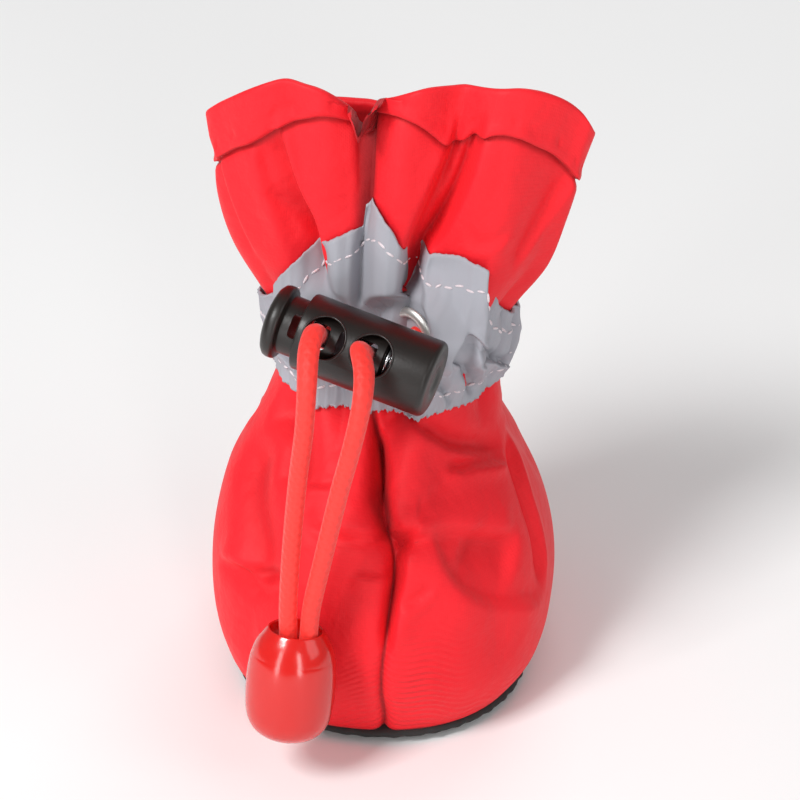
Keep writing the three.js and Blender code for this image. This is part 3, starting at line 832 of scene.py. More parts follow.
def base_normal(angle, level):
    """The outward direction of the plain section."""
    low = np.maximum(level - 0.5, UPPER_BOTTOM_Z)
    high = np.minimum(level + 0.5, COLLAR_Z)
    around = base_point(angle + 1, level) - base_point(angle - 1, level)
    upwards = base_point(angle, high) - base_point(angle, low)
    return unit(np.cross(around, upwards))


def fold_shape(distance):
    """A valley with rounded sides: 1 at its bottom, 0 from one width away."""
    eased = np.hypot(distance, FOLD_ROUNDING) - FOLD_ROUNDING * np.exp(-distance * distance)
    return 1 - np.sin(np.clip(eased, 0, 1) * np.pi / 2)


def fold_depth(angle, level):
    """How far the cloth lies inside the plain section at a place."""
    depth = np.zeros(angle.shape)
    for fold in FOLDS:
        along = np.clip((level - fold.z[0]) / (fold.z[1] - fold.z[0]), 0, 1)
        middle, width, deep = (
            pair[0] + (pair[1] - pair[0]) * along for pair in (fold.angle, fold.width, fold.depth)
        )
        starts = smooth(fold.z[0] - FOLD_FADE, fold.z[0] + FOLD_FADE, level)
        ends = 1 - smooth(fold.z[1] - FOLD_FADE, fold.z[1] + FOLD_FADE, level)
        depth += starts * ends * deep * fold_shape(wrap_degrees(angle - middle) / width)
    seam = read_table(SEAM_PATH, "z", "angle", level)
    return depth + SEAM_DEPTH * fold_shape(wrap_degrees(angle - seam) / SEAM_WIDTH)


def flatten_under_eyelets(points, offset):
    """The cloth is pressed flat where an eyelet is riveted through the band."""
    for _, place, facing in EYELETS:
        facing = unit(np.array(facing, dtype=float))
        away = points - np.array(place)
        height = away @ facing
        radius = np.linalg.norm(away - height[..., None] * facing, axis=-1)
        near = 1 - smooth(PAD_REACH / 2, PAD_REACH, np.abs(height - offset))
        hold = near * (1 - smooth(PAD_FLAT_R, PAD_BLEND_R, radius))
        points = points + (hold * (offset - height))[..., None] * facing
    return points


def folded_point(angle, level):
    """A point of the cloth's outer face with the main folds, but without the creases."""
    depth = fold_depth(angle, level)[..., None]
    return base_point(angle, level) - base_normal(angle, level) * depth


def crease_relief(points, normals, crease):
    """How far a crease moves the cloth out at points of its surface."""
    route = smooth_route(crease.route, CREASE_STEPS)
    route = folded_point(route[:, 0], route[:, 1])
    lengths = run_lengths(route)
    reach = CREASE_REACH * max(crease.left[1], crease.right[1])
    low, high = route.min(axis=0) - reach, route.max(axis=0) + reach
    near = np.flatnonzero(((points > low) & (points < high)).all(axis=1))
    here, out = points[near], normals[near]
    nearest = np.full(len(near), np.inf)
    side = np.zeros(len(near))
    run = np.zeros(len(near))
    for start, end, length in zip(route, route[1:], lengths):
        span = end - start
        share = np.clip((here - start) @ span / (span @ span), 0, 1)
        away = here - start - share[:, None] * span
        distance = np.linalg.norm(away, axis=1)
        closer = distance < nearest
        leftwards = np.sum(away * np.cross(out, span), axis=1)
        nearest[closer] = distance[closer]
        side[closer] = np.sign(leftwards[closer])
        run[closer] = length + share[closer] * np.linalg.norm(span)
    signed = nearest * side
    change = smooth(-crease.softness, crease.softness, signed)
    left, right = (
        height * np.exp(-((signed / width) ** 2)) for height, width in (crease.left, crease.right)
    )
    taper = lengths[-1] * CREASE_TAPER
    ends = smooth(0, taper, run) * (1 - smooth(lengths[-1] - taper, lengths[-1], run))
    relief = np.zeros(len(points))
    relief[near] = ends * (change * left + (1 - change) * right)
    return relief


def seam_distance(angle, level):
    """Distance along the cloth from the front seam, or from the seam up the heel."""
    front = wrap_degrees(angle - read_table(SEAM_PATH, "z", "angle", level))
    rear = wrap_degrees(angle - 180)
    radius = np.linalg.norm(base_point(angle, level)[..., :2], axis=-1)
    return np.radians(np.where(np.abs(front) < np.abs(rear), front, rear)) * radius


def cloth_relief(angle, level, creases):
    """How far the creases and the thin line of the seam move the cloth out."""
    points = folded_point(angle, level)
    normals = base_normal(angle, level)
    relief = sum(crease_relief(points, normals, crease) for crease in creases)
    away = seam_distance(angle, level) / SEAM_LINE_WIDTH
    return relief - SEAM_LINE_DEPTH * np.exp(-away * away)


def soften(values, turn, row):
    """Values on a grid, evened out with their neighbours so that no crease looks jagged."""
    order = np.lexsort((turn, row))
    grid = values[order].reshape(int(row.max()) + 1, -1)
    for _ in range(SOFTENING):
        round_grid = np.hstack([grid[:, -2:-1], grid, grid[:, 1:2]])
        grid = (round_grid[:, :-2] + 2 * round_grid[:, 1:-1] + round_grid[:, 2:]) / 4
        tall_grid = np.vstack([grid[:1], grid, grid[-1:]])
        grid = (tall_grid[:-2] + 2 * tall_grid[1:-1] + tall_grid[2:]) / 4
    even = np.empty_like(values)
    even[order] = grid.ravel()
    return even


def cloth_points(angle, level, offset, relief):
    """The cloth's surface, moved out from its outer face by an offset."""
    depth = fold_depth(angle, level) - relief
    points = base_point(angle, level) + base_normal(angle, level) * (offset - depth)[..., None]
    return flatten_under_eyelets(points, offset)


def turn_to_angle(turn):
    """The angle of a column, for turns from -1 to 1 round from the heel."""
    return np.degrees(turn * np.pi - FRONT_CROWDING * np.sin(turn * np.pi))


# Building of meshes


def finish_piece(bm, name, finish, body="bootie", smooth_faces=True):
    """The bmesh as an object with its material, riding on a body."""
    mesh = bpy.data.meshes.new(name)
    bm.to_mesh(mesh)
    bm.free()
    mesh.materials.append(bpy.data.materials[finish])
    mesh.shade_smooth() if smooth_faces else mesh.shade_flat()
    piece = bpy.data.objects.new(name, mesh)
    bpy.context.scene.collection.objects.link(piece)
    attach(piece, body)
    return piece


def skin_grid(columns, rows, place):
    """A grid shaped by place(turn, row), which gives positions, UVs and attributes by name.
    Turn runs from -1 to 1 and row from 0 to rows. Edges that meet are joined."""
    grid = bmesh.new()
    grid.loops.layers.uv.new("surface")
    bmesh.ops.create_grid(grid, x_segments=columns, y_segments=rows, size=1, calc_uvs=True)
    mesh = bpy.data.meshes.new("grid")
    grid.to_mesh(mesh)
    grid.free()
    flat = np.empty(len(mesh.vertices) * 3)
    mesh.vertices.foreach_get("co", flat)
    turn, height, _ = flat.reshape(-1, 3).T
    points, runs, attributes = place(turn, (height + 1) / 2 * rows)
    mesh.vertices.foreach_set("co", (points * MM).ravel())
    for name, values in attributes.items():
        layer = mesh.attributes.new(name, "FLOAT", "POINT")
        layer.data.foreach_set("value", values.astype(np.float32))
    corners = np.empty(len(mesh.loops), dtype=np.int32)
    mesh.loops.foreach_get("vertex_index", corners)
    mesh.uv_layers[0].data.foreach_set("uv", (runs[corners] * MM).ravel())
    skin = bmesh.new()
    skin.from_mesh(mesh)
    bpy.data.meshes.remove(mesh)
    bmesh.ops.remove_doubles(skin, verts=skin.verts, dist=1e-6)
    return skin


def spin_profile(bm, profile, steps, matrix):
    """A profile of (along, radius) rows turned round its X axis, then placed by a matrix."""
    verts = [bm.verts.new((along * MM, radius * MM, 0)) for along, radius in profile]
    edges = [bm.edges.new(pair) for pair in zip(verts, verts[1:])]
    bmesh.ops.spin(
        bm,
        geom=verts + edges,
        cent=(0, 0, 0),
        axis=(1, 0, 0),
        angle=2 * math.pi,
        steps=steps,
        use_merge=True,
    )
    bmesh.ops.remove_doubles(bm, verts=bm.verts, dist=1e-6)
    bmesh.ops.recalc_face_normals(bm, faces=bm.faces)
    bmesh.ops.transform(bm, matrix=matrix, verts=bm.verts)


def cut_away(piece, cutter):
    """Cuts the cutter's solid out of a piece, and removes the cutter."""
    cut = piece.modifiers.new("cut", "BOOLEAN")
    cut.operation = "DIFFERENCE"
    cut.solver = "EXACT"
    cut.object = cutter
    depsgraph = bpy.context.evaluated_depsgraph_get()
    mesh = bpy.data.meshes.new_from_object(piece.evaluated_get(depsgraph))
    piece.modifiers.clear()
    piece.data = mesh
    bpy.data.objects.remove(cutter)


def cutter_object(bm):
    mesh = bpy.data.meshes.new("cutter")
    bm.to_mesh(mesh)
    bm.free()
    cutter = bpy.data.objects.new("cutter", mesh)
    bpy.context.scene.collection.objects.link(cutter)
    return cutter


def tube_skin(path, sides, radii):
    """A tube along a path in millimetres. radii gives its two half-widths at each path point."""
    tangents = unit(np.gradient(path, axis=0))
    across = np.zeros_like(path)
    across[0] = unit(np.cross(tangents[0], (0, 0, 1)))
    for i in range(1, len(path)):
        across[i] = unit(across[i - 1] - (across[i - 1] @ tangents[i]) * tangents[i])
    over = np.cross(tangents, across)
    lengths = run_lengths(path)

    def place(turn, row):
        i = np.rint(row).astype(int)
        angle = turn * np.pi
        wide, deep = radii[i, 0], radii[i, 1]
        points = path[i] + (wide * np.cos(angle))[:, None] * across[i]
        points = points + (deep * np.sin(angle))[:, None] * over[i]
        return points, np.stack([turn * np.pi * CORD_R, lengths[i]], axis=1), {}

    skin = skin_grid(sides, len(path) - 1, place)
    bmesh.ops.holes_fill(skin, edges=[edge for edge in skin.edges if edge.is_boundary], sides=0)
    bmesh.ops.recalc_face_normals(skin, faces=skin.faces)
    return skin


def lock_frame():
    """The lock's own frame: X along the barrel from the plunger's side, Z out of its holes."""
    along = Vector(LOCK_AXIS).normalized()
    out = Vector(LOCK_HOLES_FACE)
    out = (out - out.dot(along) * along).normalized()
    across = out.cross(along)
    turned = Matrix((along, across, out)).transposed().to_4x4()
    return Matrix.Translation(Vector(LOCK_CENTRE) * MM) @ turned


def cord_path(side):
    """Out of its eyelet, straight through the lock, then hanging to the bell, in millimetres."""
    behind, hanging = CORD_ROUTES[side]
    x = MOUTH_X + LOCK_HOLES_FROM_MOUTH[side] - CORD_PINCH
    frame_mm = lock_frame()
    through = []
    for share in (-1.2, -0.6, 0, 0.6, 1.2):
        point = frame_mm @ Vector((x * MM, 0, share * BARREL_R * MM))
        through.append(tuple(point / MM))
    return even_points(smooth_route((*behind, *through, *hanging), 12), CORD_STEP)


# Materials


class Shader:
    """A material or node group that is being wired."""

    def __init__(self, tree):
        self.tree = tree

    def add(self, kind, settings=(), **inputs):
        """A node with settings and inputs, whose names may have _ for a space."""
        node = self.tree.nodes.new("ShaderNode" + kind)
        for name, value in dict(settings).items():
            setattr(node, name, value)
        for name, value in inputs.items():
            self.feed(node.inputs[name.replace("_", " ")], value)
        return node

    def feed(self, socket, value):
        if isinstance(value, bpy.types.NodeSocket):
            self.tree.links.new(value, socket)
        else:
            socket.default_value = value

    def math(self, operation, *values):
        node = self.tree.nodes.new("ShaderNodeMath")
        node.operation = operation
        for socket, value in zip(node.inputs, values):
            self.feed(socket, value)
        return node.outputs[0]

    def mix(self, factor, dark, light):
        node = self.add("Mix", {"data_type": "RGBA"})
        self.feed(node.inputs["Factor"], factor)
        self.feed(node.inputs[6], dark)
        self.feed(node.inputs[7], light)
        return node.outputs[2]

    def attribute(self, name):
        return self.add("Attribute", {"attribute_name": name}).outputs["Fac"]

    def place(self):
        return self.add("TexCoord").outputs["Object"]

    def surface(self):
        return self.add("UVMap", {"uv_map": "surface"}).outputs["UV"]

    def bump(self, height, distance, strength=1.0, normal=None):
        node = self.add("Bump", Strength=strength, Distance=distance, Height=height)
        if normal is not None:
            self.feed(node.inputs["Normal"], normal)
        return node.outputs["Normal"]


def new_group(name, inputs, outputs):
    """A node group with named sockets, and its wiring, inputs and outputs."""
    group = bpy.data.node_groups.new(name, "ShaderNodeTree")
    for label, kind, default in inputs:
        socket = group.interface.new_socket(label, in_out="INPUT", socket_type=kind)
        if default is not None:
            socket.default_value = default
    for label, kind in outputs:
        group.interface.new_socket(label, in_out="OUTPUT", socket_type=kind)
    shader = Shader(group)
    start = group.nodes.new("NodeGroupInput")
    end = group.nodes.new("NodeGroupOutput")
    return shader, start.outputs, end.inputs


def use_group(shader, name, **inputs):
    node = shader.add("Group", {"node_tree": bpy.data.node_groups[name]})
    for label, value in inputs.items():
        shader.feed(node.inputs[label.replace("_", " ")], value)
    return node.outputs


def make_weave_group():
    """Plain weave of threads that pass over and under each other, with painted shade between them.
    """
    shader, given, result = new_group(
        "Woven Threads",
        [("Vector", "NodeSocketVector", None), ("Pitch", "NodeSocketFloat", 0.0004)],
        [("Height", "NodeSocketFloat"), ("Painted Shade", "NodeSocketFloat")],
    )
    parts = shader.add("SeparateXYZ", Vector=given["Vector"])
    waves = []
    for axis in "XY":
        turns = shader.math("DIVIDE", parts.outputs[axis], given["Pitch"])
        waves.append(shader.math("SINE", shader.math("MULTIPLY", turns, math.pi)))
    over = shader.math("MULTIPLY_ADD", shader.math("MULTIPLY", *waves), 0.5, 0.5)
    warp = shader.math("MULTIPLY", shader.math("ABSOLUTE", waves[0]), over)
    under = shader.math("SUBTRACT", 1.0, over)
    weft = shader.math("MULTIPLY", shader.math("ABSOLUTE", waves[1]), under)
    height = shader.math("ADD", warp, weft)
    shader.feed(result["Height"], height)
    # The second output is painted shade: it is darker where the weave lies low.
    shader.feed(result["Painted Shade"], shader.math("POWER", height, 0.6))


def make_grain_group():
    """Fine grain of a given size, with a broad soft mottle."""
    shader, given, result = new_group(
        "Fine Grain",
        [("Vector", "NodeSocketVector", None), ("Size", "NodeSocketFloat", 0.001)],
        [("Height", "NodeSocketFloat"), ("Mottle", "NodeSocketFloat")],
    )
    scale = shader.math("DIVIDE", 1.0, given["Size"])
    broad = shader.math("MULTIPLY", scale, 0.12)
    fine_noise = shader.add("TexNoise", Vector=given["Vector"], Scale=scale, Detail=4.0)
    broad_noise = shader.add("TexNoise", Vector=given["Vector"], Scale=broad, Detail=3.0)
    shader.feed(result["Height"], fine_noise.outputs["Fac"])
    shader.feed(result["Mottle"], broad_noise.outputs["Fac"])


def shade(colour, factor):
    return (colour[0] * factor, colour[1] * factor, colour[2] * factor, 1.0)


def new_material(name):
    material = bpy.data.materials.new(name)
    material.use_nodes = True
    shader = Shader(material.node_tree)
    principled = material.node_tree.nodes["Principled BSDF"]
    return shader, principled.inputs


def make_cloth_material(colour, pitch):
    shader, surface = new_material("nylon")
    weave = use_group(shader, "Woven Threads", Vector=shader.surface(), Pitch=pitch)
    grain = use_group(shader, "Fine Grain", Vector=shader.place(), Size=0.0016)
    tone = shader.mix(grain["Mottle"], shade(colour, 0.9), shade(colour, 1.05))
    # Painted shade: the lining inside the bootie is a darker copy of the same nylon.
    lining = shader.mix(shader.attribute("inside"), tone, shade(colour, 0.62))
    # The weave's painted shade darkens the nylon between the threads.
    threads = shader.math("MULTIPLY_ADD", weave["Painted Shade"], 0.14, 0.86)
    tinted = shader.mix(threads, shade(colour, 0.55), lining)
    # Painted shade in the creases: the nylon is darker where its relief sinks in.
    tinted = shader.mix(shader.attribute("hollow"), tinted, shade(colour, 0.7))
    # The seam's stitched line with painted shade of its groove, and a painted shadow under the
    # hem's lower edge.
    tinted = shader.mix(shader.attribute("seam"), tinted, shade(colour, 0.3))
    shader.feed(surface["Base Color"], tinted)
    rough = shader.math("MULTIPLY_ADD", grain["Height"], 0.16, 0.5)
    shader.feed(surface["Roughness"], rough)
    surface["Specular IOR Level"].default_value = 0.25
    surface["Sheen Weight"].default_value = 0.07
    surface["Sheen Roughness"].default_value = 0.45
    surface["Sheen Tint"].default_value = (1.0, 0.55, 0.55, 1.0)
    ripple = shader.math("SINE", shader.attribute("ripple_phase"))
    ripple = shader.math("MULTIPLY", ripple, shader.attribute("ripple"))
    relief = shader.bump(ripple, 0.00012)
    rumpled = use_group(shader, "Fine Grain", Vector=shader.place(), Size=0.007)
    relief = shader.bump(rumpled["Height"], 0.0011, 0.45, relief)
    relief = shader.bump(grain["Height"], 0.00022, 0.6, relief)
    shader.feed(surface["Normal"], shader.bump(weave["Height"], 0.00002, 0.6, relief))


def make_tape_material(colour):
    shader, surface = new_material("reflective_tape")
    grain = use_group(shader, "Fine Grain", Vector=shader.surface(), Size=0.00035)
    creased = use_group(shader, "Fine Grain", Vector=shader.place(), Size=0.0022)
    tone = shader.mix(grain["Height"], shade(colour, 0.72), shade(colour, 1.22))
    worn = shader.math("MULTIPLY_ADD", creased["Height"], 0.5, 0.1)
    tone = shader.mix(worn, tone, (0.46, 0.42, 0.46, 1.0))
    # Painted highlight and painted reflection of the red cloth: the tape's rounded edges are
    # lighter and pinkish.
    edge = shader.attribute("edge")
    tone = shader.mix(edge, tone, (0.5, 0.46, 0.48, 1.0))
    # Painted shade: the tape is much darker where its crumples sink in.
    tone = shader.mix(shader.attribute("hollow"), tone, shade(colour, 0.28))
    shader.feed(surface["Base Color"], tone)
    shader.feed(surface["Metallic"], shader.math("MULTIPLY_ADD", grain["Height"], 0.3, 0.1))
    shader.feed(surface["Roughness"], shader.math("MULTIPLY_ADD", grain["Mottle"], 0.2, 0.36))
    ribs = shader.add("SeparateXYZ", Vector=shader.surface()).outputs["X"]
    ribs = shader.math("SINE", shader.math("MULTIPLY", ribs, 2 * math.pi / 0.0009))
    relief = shader.bump(ribs, 0.00003)
    relief = shader.bump(creased["Height"], 0.0004, 0.6, relief)
    shader.feed(surface["Normal"], shader.bump(grain["Height"], 0.0001, 0.6, relief))


def make_rubber_material(colour):
    shader, surface = new_material("sole_rubber")
    grain = use_group(shader, "Fine Grain", Vector=shader.place(), Size=0.0005)
    lumps = use_group(shader, "Fine Grain", Vector=shader.place(), Size=0.0018)
    dusty = shader.math("MULTIPLY", lumps["Mottle"], 0.5)
    tone = shader.mix(dusty, shade(colour, 1), shade(colour, 2.6))
    shader.feed(surface["Base Color"], tone)
    shader.feed(surface["Roughness"], shader.math("MULTIPLY_ADD", grain["Height"], 0.3, 0.5))
    relief = shader.bump(lumps["Height"], 0.0006, 0.6)
    shader.feed(surface["Normal"], shader.bump(grain["Height"], 0.00015, 0.6, relief))


def make_insole_material():
    shader, surface = new_material("insole_fleece")
    weave = use_group(shader, "Woven Threads", Vector=shader.surface(), Pitch=0.0009)
    grain = use_group(shader, "Fine Grain", Vector=shader.place(), Size=0.0007)
    tone = shader.mix(grain["Height"], (0.02, 0.019, 0.018, 1), (0.07, 0.066, 0.062, 1))
    shader.feed(surface["Base Color"], tone)
    surface["Roughness"].default_value = 0.9
    surface["Sheen Weight"].default_value = 0.3
    relief = shader.bump(weave["Height"], 0.0002)
    shader.feed(surface["Normal"], shader.bump(grain["Height"], 0.0003, 0.8, relief))


def make_lock_material(colour):
    shader, surface = new_material("lock_plastic")
    grain = use_group(shader, "Fine Grain", Vector=shader.place(), Size=0.0004)
    wear = use_group(shader, "Fine Grain", Vector=shader.place(), Size=0.0012)
    tone = shader.mix(wear["Mottle"], shade(colour, 0.8), shade(colour, 1.7))
    shader.feed(surface["Base Color"], tone)
    rough = shader.math("MULTIPLY_ADD", wear["Mottle"], 0.22, 0.26)
    shader.feed(surface["Roughness"], rough)
    surface["Specular IOR Level"].default_value = 0.45
    surface["Coat Weight"].default_value = 0.06
    surface["Coat Roughness"].default_value = 0.3
    shader.feed(surface["Normal"], shader.bump(grain["Height"], 0.00004, 0.5))


def make_bell_material(colour):
    shader, surface = new_material("bell_plastic")
    grain = use_group(shader, "Fine Grain", Vector=shader.place(), Size=0.003)
    tone = shader.mix(grain["Mottle"], shade(colour, 0.86), shade(colour, 1.1))
    shader.feed(surface["Base Color"], tone)
    shader.feed(surface["Roughness"], shader.math("MULTIPLY_ADD", grain["Height"], 0.1, 0.14))
    surface["Subsurface Weight"].default_value = 0.35
    surface["Subsurface Radius"].default_value = (0.004, 0.0006, 0.0004)
    surface["Subsurface Scale"].default_value = 1.0
    surface["Coat Weight"].default_value = 0.5
    surface["Coat Roughness"].default_value = 0.12
    shader.feed(surface["Normal"], shader.bump(grain["Height"], 0.0001, 0.4))


def make_cord_material(colour):
    shader, surface = new_material("elastic_cord")
    parts = shader.add("SeparateXYZ", Vector=shader.surface())
    around = shader.math("MULTIPLY", parts.outputs["X"], 6 / (CORD_R * MM))
    along = shader.math("MULTIPLY", parts.outputs["Y"], 2 * math.pi / 0.0016)
    rising = shader.math("SINE", shader.math("ADD", around, along))
    falling = shader.math("SINE", shader.math("SUBTRACT", around, along))
    braid = shader.math("MAXIMUM", rising, falling)
    grain = use_group(shader, "Fine Grain", Vector=shader.place(), Size=0.0006)
    # Painted shade: the cord is darker in the grooves between the strands of its braid.
    braid_painted_shade = shader.math("MULTIPLY_ADD", braid, 0.15, 0.8)
    tone = shader.mix(braid_painted_shade, shade(colour, 0.84), shade(colour, 1.04))
    shader.feed(surface["Base Color"], tone)
    shader.feed(surface["Roughness"], shader.math("MULTIPLY_ADD", grain["Height"], 0.2, 0.5))
    surface["Sheen Weight"].default_value = 0.2
    relief = shader.bump(braid, 0.00005, 0.7)
    shader.feed(surface["Normal"], shader.bump(grain["Height"], 0.0001, 0.4, relief))


def make_metal_material(name, colour, roughness):
    shader, surface = new_material(name)
    grain = use_group(shader, "Fine Grain", Vector=shader.place(), Size=0.0008)
    tone = shader.mix(grain["Mottle"], shade(colour, 0.85), shade(colour, 1.08))
    shader.feed(surface["Base Color"], tone)
    surface["Metallic"].default_value = 1.0
    rough = shader.math("MULTIPLY_ADD", grain["Height"], 0.12, roughness)
    shader.feed(surface["Roughness"], rough)
    shader.feed(surface["Normal"], shader.bump(grain["Height"], 0.00003, 0.5))


def make_thread_material():
    shader, surface = new_material("sewing_thread")
    parts = shader.add("SeparateXYZ", Vector=shader.place())
    twist = shader.math("ADD", parts.outputs["X"], parts.outputs["Z"])
    twist = shader.math("SINE", shader.math("MULTIPLY", twist, 2 * math.pi / 0.0004))
    grain = use_group(shader, "Fine Grain", Vector=shader.place(), Size=0.0006)
    tone = shader.mix(grain["Height"], (0.62, 0.5, 0.54, 1), (0.86, 0.8, 0.82, 1))
    shader.feed(surface["Base Color"], tone)
    surface["Roughness"].default_value = 0.45
    surface["Sheen Weight"].default_value = 0.3
    shader.feed(surface["Normal"], shader.bump(twist, 0.00004, 0.7))


# Pieces


class BOOTIE_OT_finishes(bpy.types.Operator):
    """Make the materials of the bootie"""

    bl_idname = "bootie.finishes"
    bl_label = "Make Finishes"

    def execute(self, context):
        sizes = context.scene.bootie_sizes
        colours = context.scene.bootie_colours
        make_weave_group()
        make_grain_group()
        make_cloth_material(colours.cloth, sizes.weave_pitch)
        make_tape_material(colours.tape)
        make_rubber_material(colours.rubber)
        make_insole_material()
        make_lock_material(colours.lock)
        make_bell_material(colours.bell)
        make_cord_material(colours.cord)
        make_metal_material("nickel", (0.78, 0.75, 0.72), 0.2)
        make_metal_material("spring_steel", (0.7, 0.7, 0.72), 0.16)
        make_thread_material()
        return {"FINISHED"}


class BOOTIE_OT_stage(bpy.types.Operator):
    """Set the camera, the lights and the pale floor"""

    bl_idname = "bootie.stage"
    bl_label = "Set Stage"

    def execute(self, context):
        scene = context.scene
        stage = scene.bootie_stage
        scene.view_settings.view_transform = "Standard"
        azimuth, elevation = math.radians(VIEW_AZIMUTH), math.radians(VIEW_ELEVATION)
        back = Vector(
            (
                math.sin(azimuth) * math.cos(elevation),
                -math.cos(azimuth) * math.cos(elevation),
                math.sin(elevation),
            )
        )
        target = Vector(VIEW_TARGET) * MM
        camera = bpy.data.objects.new("camera", bpy.data.cameras.new("camera"))
        camera.data.lens = stage.lens
        camera.data.clip_start = 0.01
        camera.location = target + stage.camera_distance * back
        camera.rotation_euler = back.to_track_quat("Z", "Y").to_euler()
        scene.collection.objects.link(camera)
        scene.camera = camera

        floor_mesh = bmesh.new()
        bmesh.ops.create_circle(floor_mesh, cap_ends=True, radius=1.5, segments=64)
        shader, surface = new_material("studio_floor")
        grain = use_group(shader, "Fine Grain", Vector=shader.place(), Size=0.02)
        tone = shader.mix(grain["Mottle"], (0.9, 0.9, 0.9, 1), (0.93, 0.93, 0.93, 1))
        shader.feed(surface["Base Color"], tone)
        surface["Roughness"].default_value = 0.7
        mesh = bpy.data.meshes.new("floor")
        floor_mesh.to_mesh(mesh)
        floor_mesh.free()
        mesh.materials.append(bpy.data.materials["studio_floor"])
        floor = bpy.data.objects.new("floor", mesh)
        scene.collection.objects.link(floor)

        world = bpy.data.worlds.new("studio")
        world.use_nodes = True
        sky = world.node_tree.nodes["Background"].inputs
        sky["Color"].default_value = (1.0, 1.0, 1.0, 1)
        sky["Strength"].default_value = 0.26 * stage.brightness
        scene.world = world
        # Name, place, width, height and watts of each soft light, which all face the shoe.
        lights = (
            ("key light", (-0.4, -0.48, 0.75), 0.28, 0.28, 6.4),
            ("left strip", (-0.3, -0.55, 0.2), 0.1, 0.45, 0.8),
            ("right strip", (0.22, -0.62, 0.22), 0.1, 0.45, 0.9),
            ("fill light", (0.7, -0.3, 0.5), 0.5, 0.5, 1.1),
            ("rear light", (0.1, 0.7, 0.6), 0.6, 0.4, 1.8),
        )
        for name, place, width, height, watts in lights:
            light = bpy.data.lights.new(name, "AREA")
            light.shape = "RECTANGLE"
            light.size = width
            light.size_y = height
            light.energy = watts * stage.brightness
            lamp = bpy.data.objects.new(name, light)
            lamp.location = place
            lamp.rotation_euler = (Vector(place) - target).to_track_quat("Z", "Y").to_euler()
            scene.collection.objects.link(lamp)
        return {"FINISHED"}


class BOOTIE_OT_cords(bpy.types.Operator):
    """Lay the two ends of the elastic cord and hang the bell on them"""

    bl_idname = "bootie.cords"
    bl_label = "Add Cords and Bell"

    def execute(self, context):
        bell = self.make_bell()
        radius = context.scene.bootie_sizes.cord_thickness / MM / 2
        for side in CORD_ROUTES:
            path = cord_path(side)
            run = run_lengths(path)
            lock = np.array(LOCK_CENTRE)
            bend = run[np.argmin(np.linalg.norm(path - lock, axis=1))] + CORD_BEND_FROM_LOCK
            swell = CORD_BEND_SWELL * np.exp(-(((run - bend) / CORD_BEND_LENGTH) ** 2))
            radii = np.stack([radius * (1 + swell), radius * (1 - 0.4 * swell)], axis=1)
            skin = tube_skin(path, CORD_SIDES, radii)
            piece = finish_piece(skin, f"cord_{side}", "elastic_cord")
            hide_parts(f"draw_cord_{side}")
        return {"FINISHED"}

    def make_bell(self):
        bm = bmesh.new()
        profile = list(zip(BELL_PROFILE["up"], BELL_PROFILE["r"]))
        upright = Matrix.Rotation(-math.pi / 2, 4, "Y")
        centred = Matrix.Translation((0, 0, -BELL_HEIGHT / 2 * MM))
        flattened = Matrix.Diagonal((1, BELL_FLATTEN, 1, 1))
        tilted = Matrix.Rotation(BELL_TILT[1], 4, "Y") @ Matrix.Rotation(BELL_TILT[0], 4, "X")
        placed = Matrix.Translation(Vector(BELL_CENTRE) * MM)
        spin_profile(bm, profile, 72, placed @ tilted @ flattened @ centred @ upright)
        bell = finish_piece(bm, "bell", "bell_plastic")
        subdivide = bell.modifiers.new("smooth", "SUBSURF")
        subdivide.levels = subdivide.render_levels = 1
        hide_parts("cord_bell")
        return bell


def sole_outline(turn, inset):
    """The sole's outline at a turn in radians from the toe, moved in by an inset."""
    s, c = np.sin(turn), np.cos(turn)
    front = SOLE_BALL_Y - SOLE_TOE_Y
    rear = SOLE_HEEL_Y - SOLE_BALL_Y
    reach = np.where(c > 0, front, rear) - inset
    power = np.where(c > 0, SOLE_TOE_POWER, SOLE_HEEL_POWER)
    y = SOLE_BALL_Y - np.sign(c) * np.abs(c) ** power * reach
    to_heel = np.clip((y - SOLE_BALL_Y) / rear, 0, 1)
    arch = SOLE_ARCH_IN * np.sin(to_heel * np.pi)
    x = SOLE_MIDDLE_X + np.sign(s) * np.abs(s) ** power * (SOLE_HALF_WIDTH - inset - arch)
    return x, y


def slab_skin(rings, spring):
    """A slab with the sole's outline. Its rings are rows of (share of the size, inset, height),
    from the middle of the underside to the middle of the top."""
    shares, insets, heights = np.array(rings, dtype=float).T

    def place(turn, row):
        i = np.rint(row).astype(int)
        x, y = sole_outline(turn * np.pi, insets[i])
        uneven = 1 + SOLE_RIM_WAVE * (np.sin(turn * 131) + 0.7 * np.sin(turn * 214 + 1))
        x = SOLE_MIDDLE_X + (x - SOLE_MIDDLE_X) * shares[i] * uneven
        y = SOLE_BALL_Y + (y - SOLE_BALL_Y) * shares[i] * uneven
        low = 1 - smooth(0.6, SOLE_THICK, heights[i])
        lift = spring * low * smooth(-12, SOLE_TOE_Y, y)
        points = np.stack([x, y, heights[i] + lift], axis=1)
        return points, np.stack([x, y], axis=1), {}

    skin = skin_grid(SOLE_COLUMNS, len(rings) - 1, place)
    bmesh.ops.recalc_face_normals(skin, faces=skin.faces)
    return skin


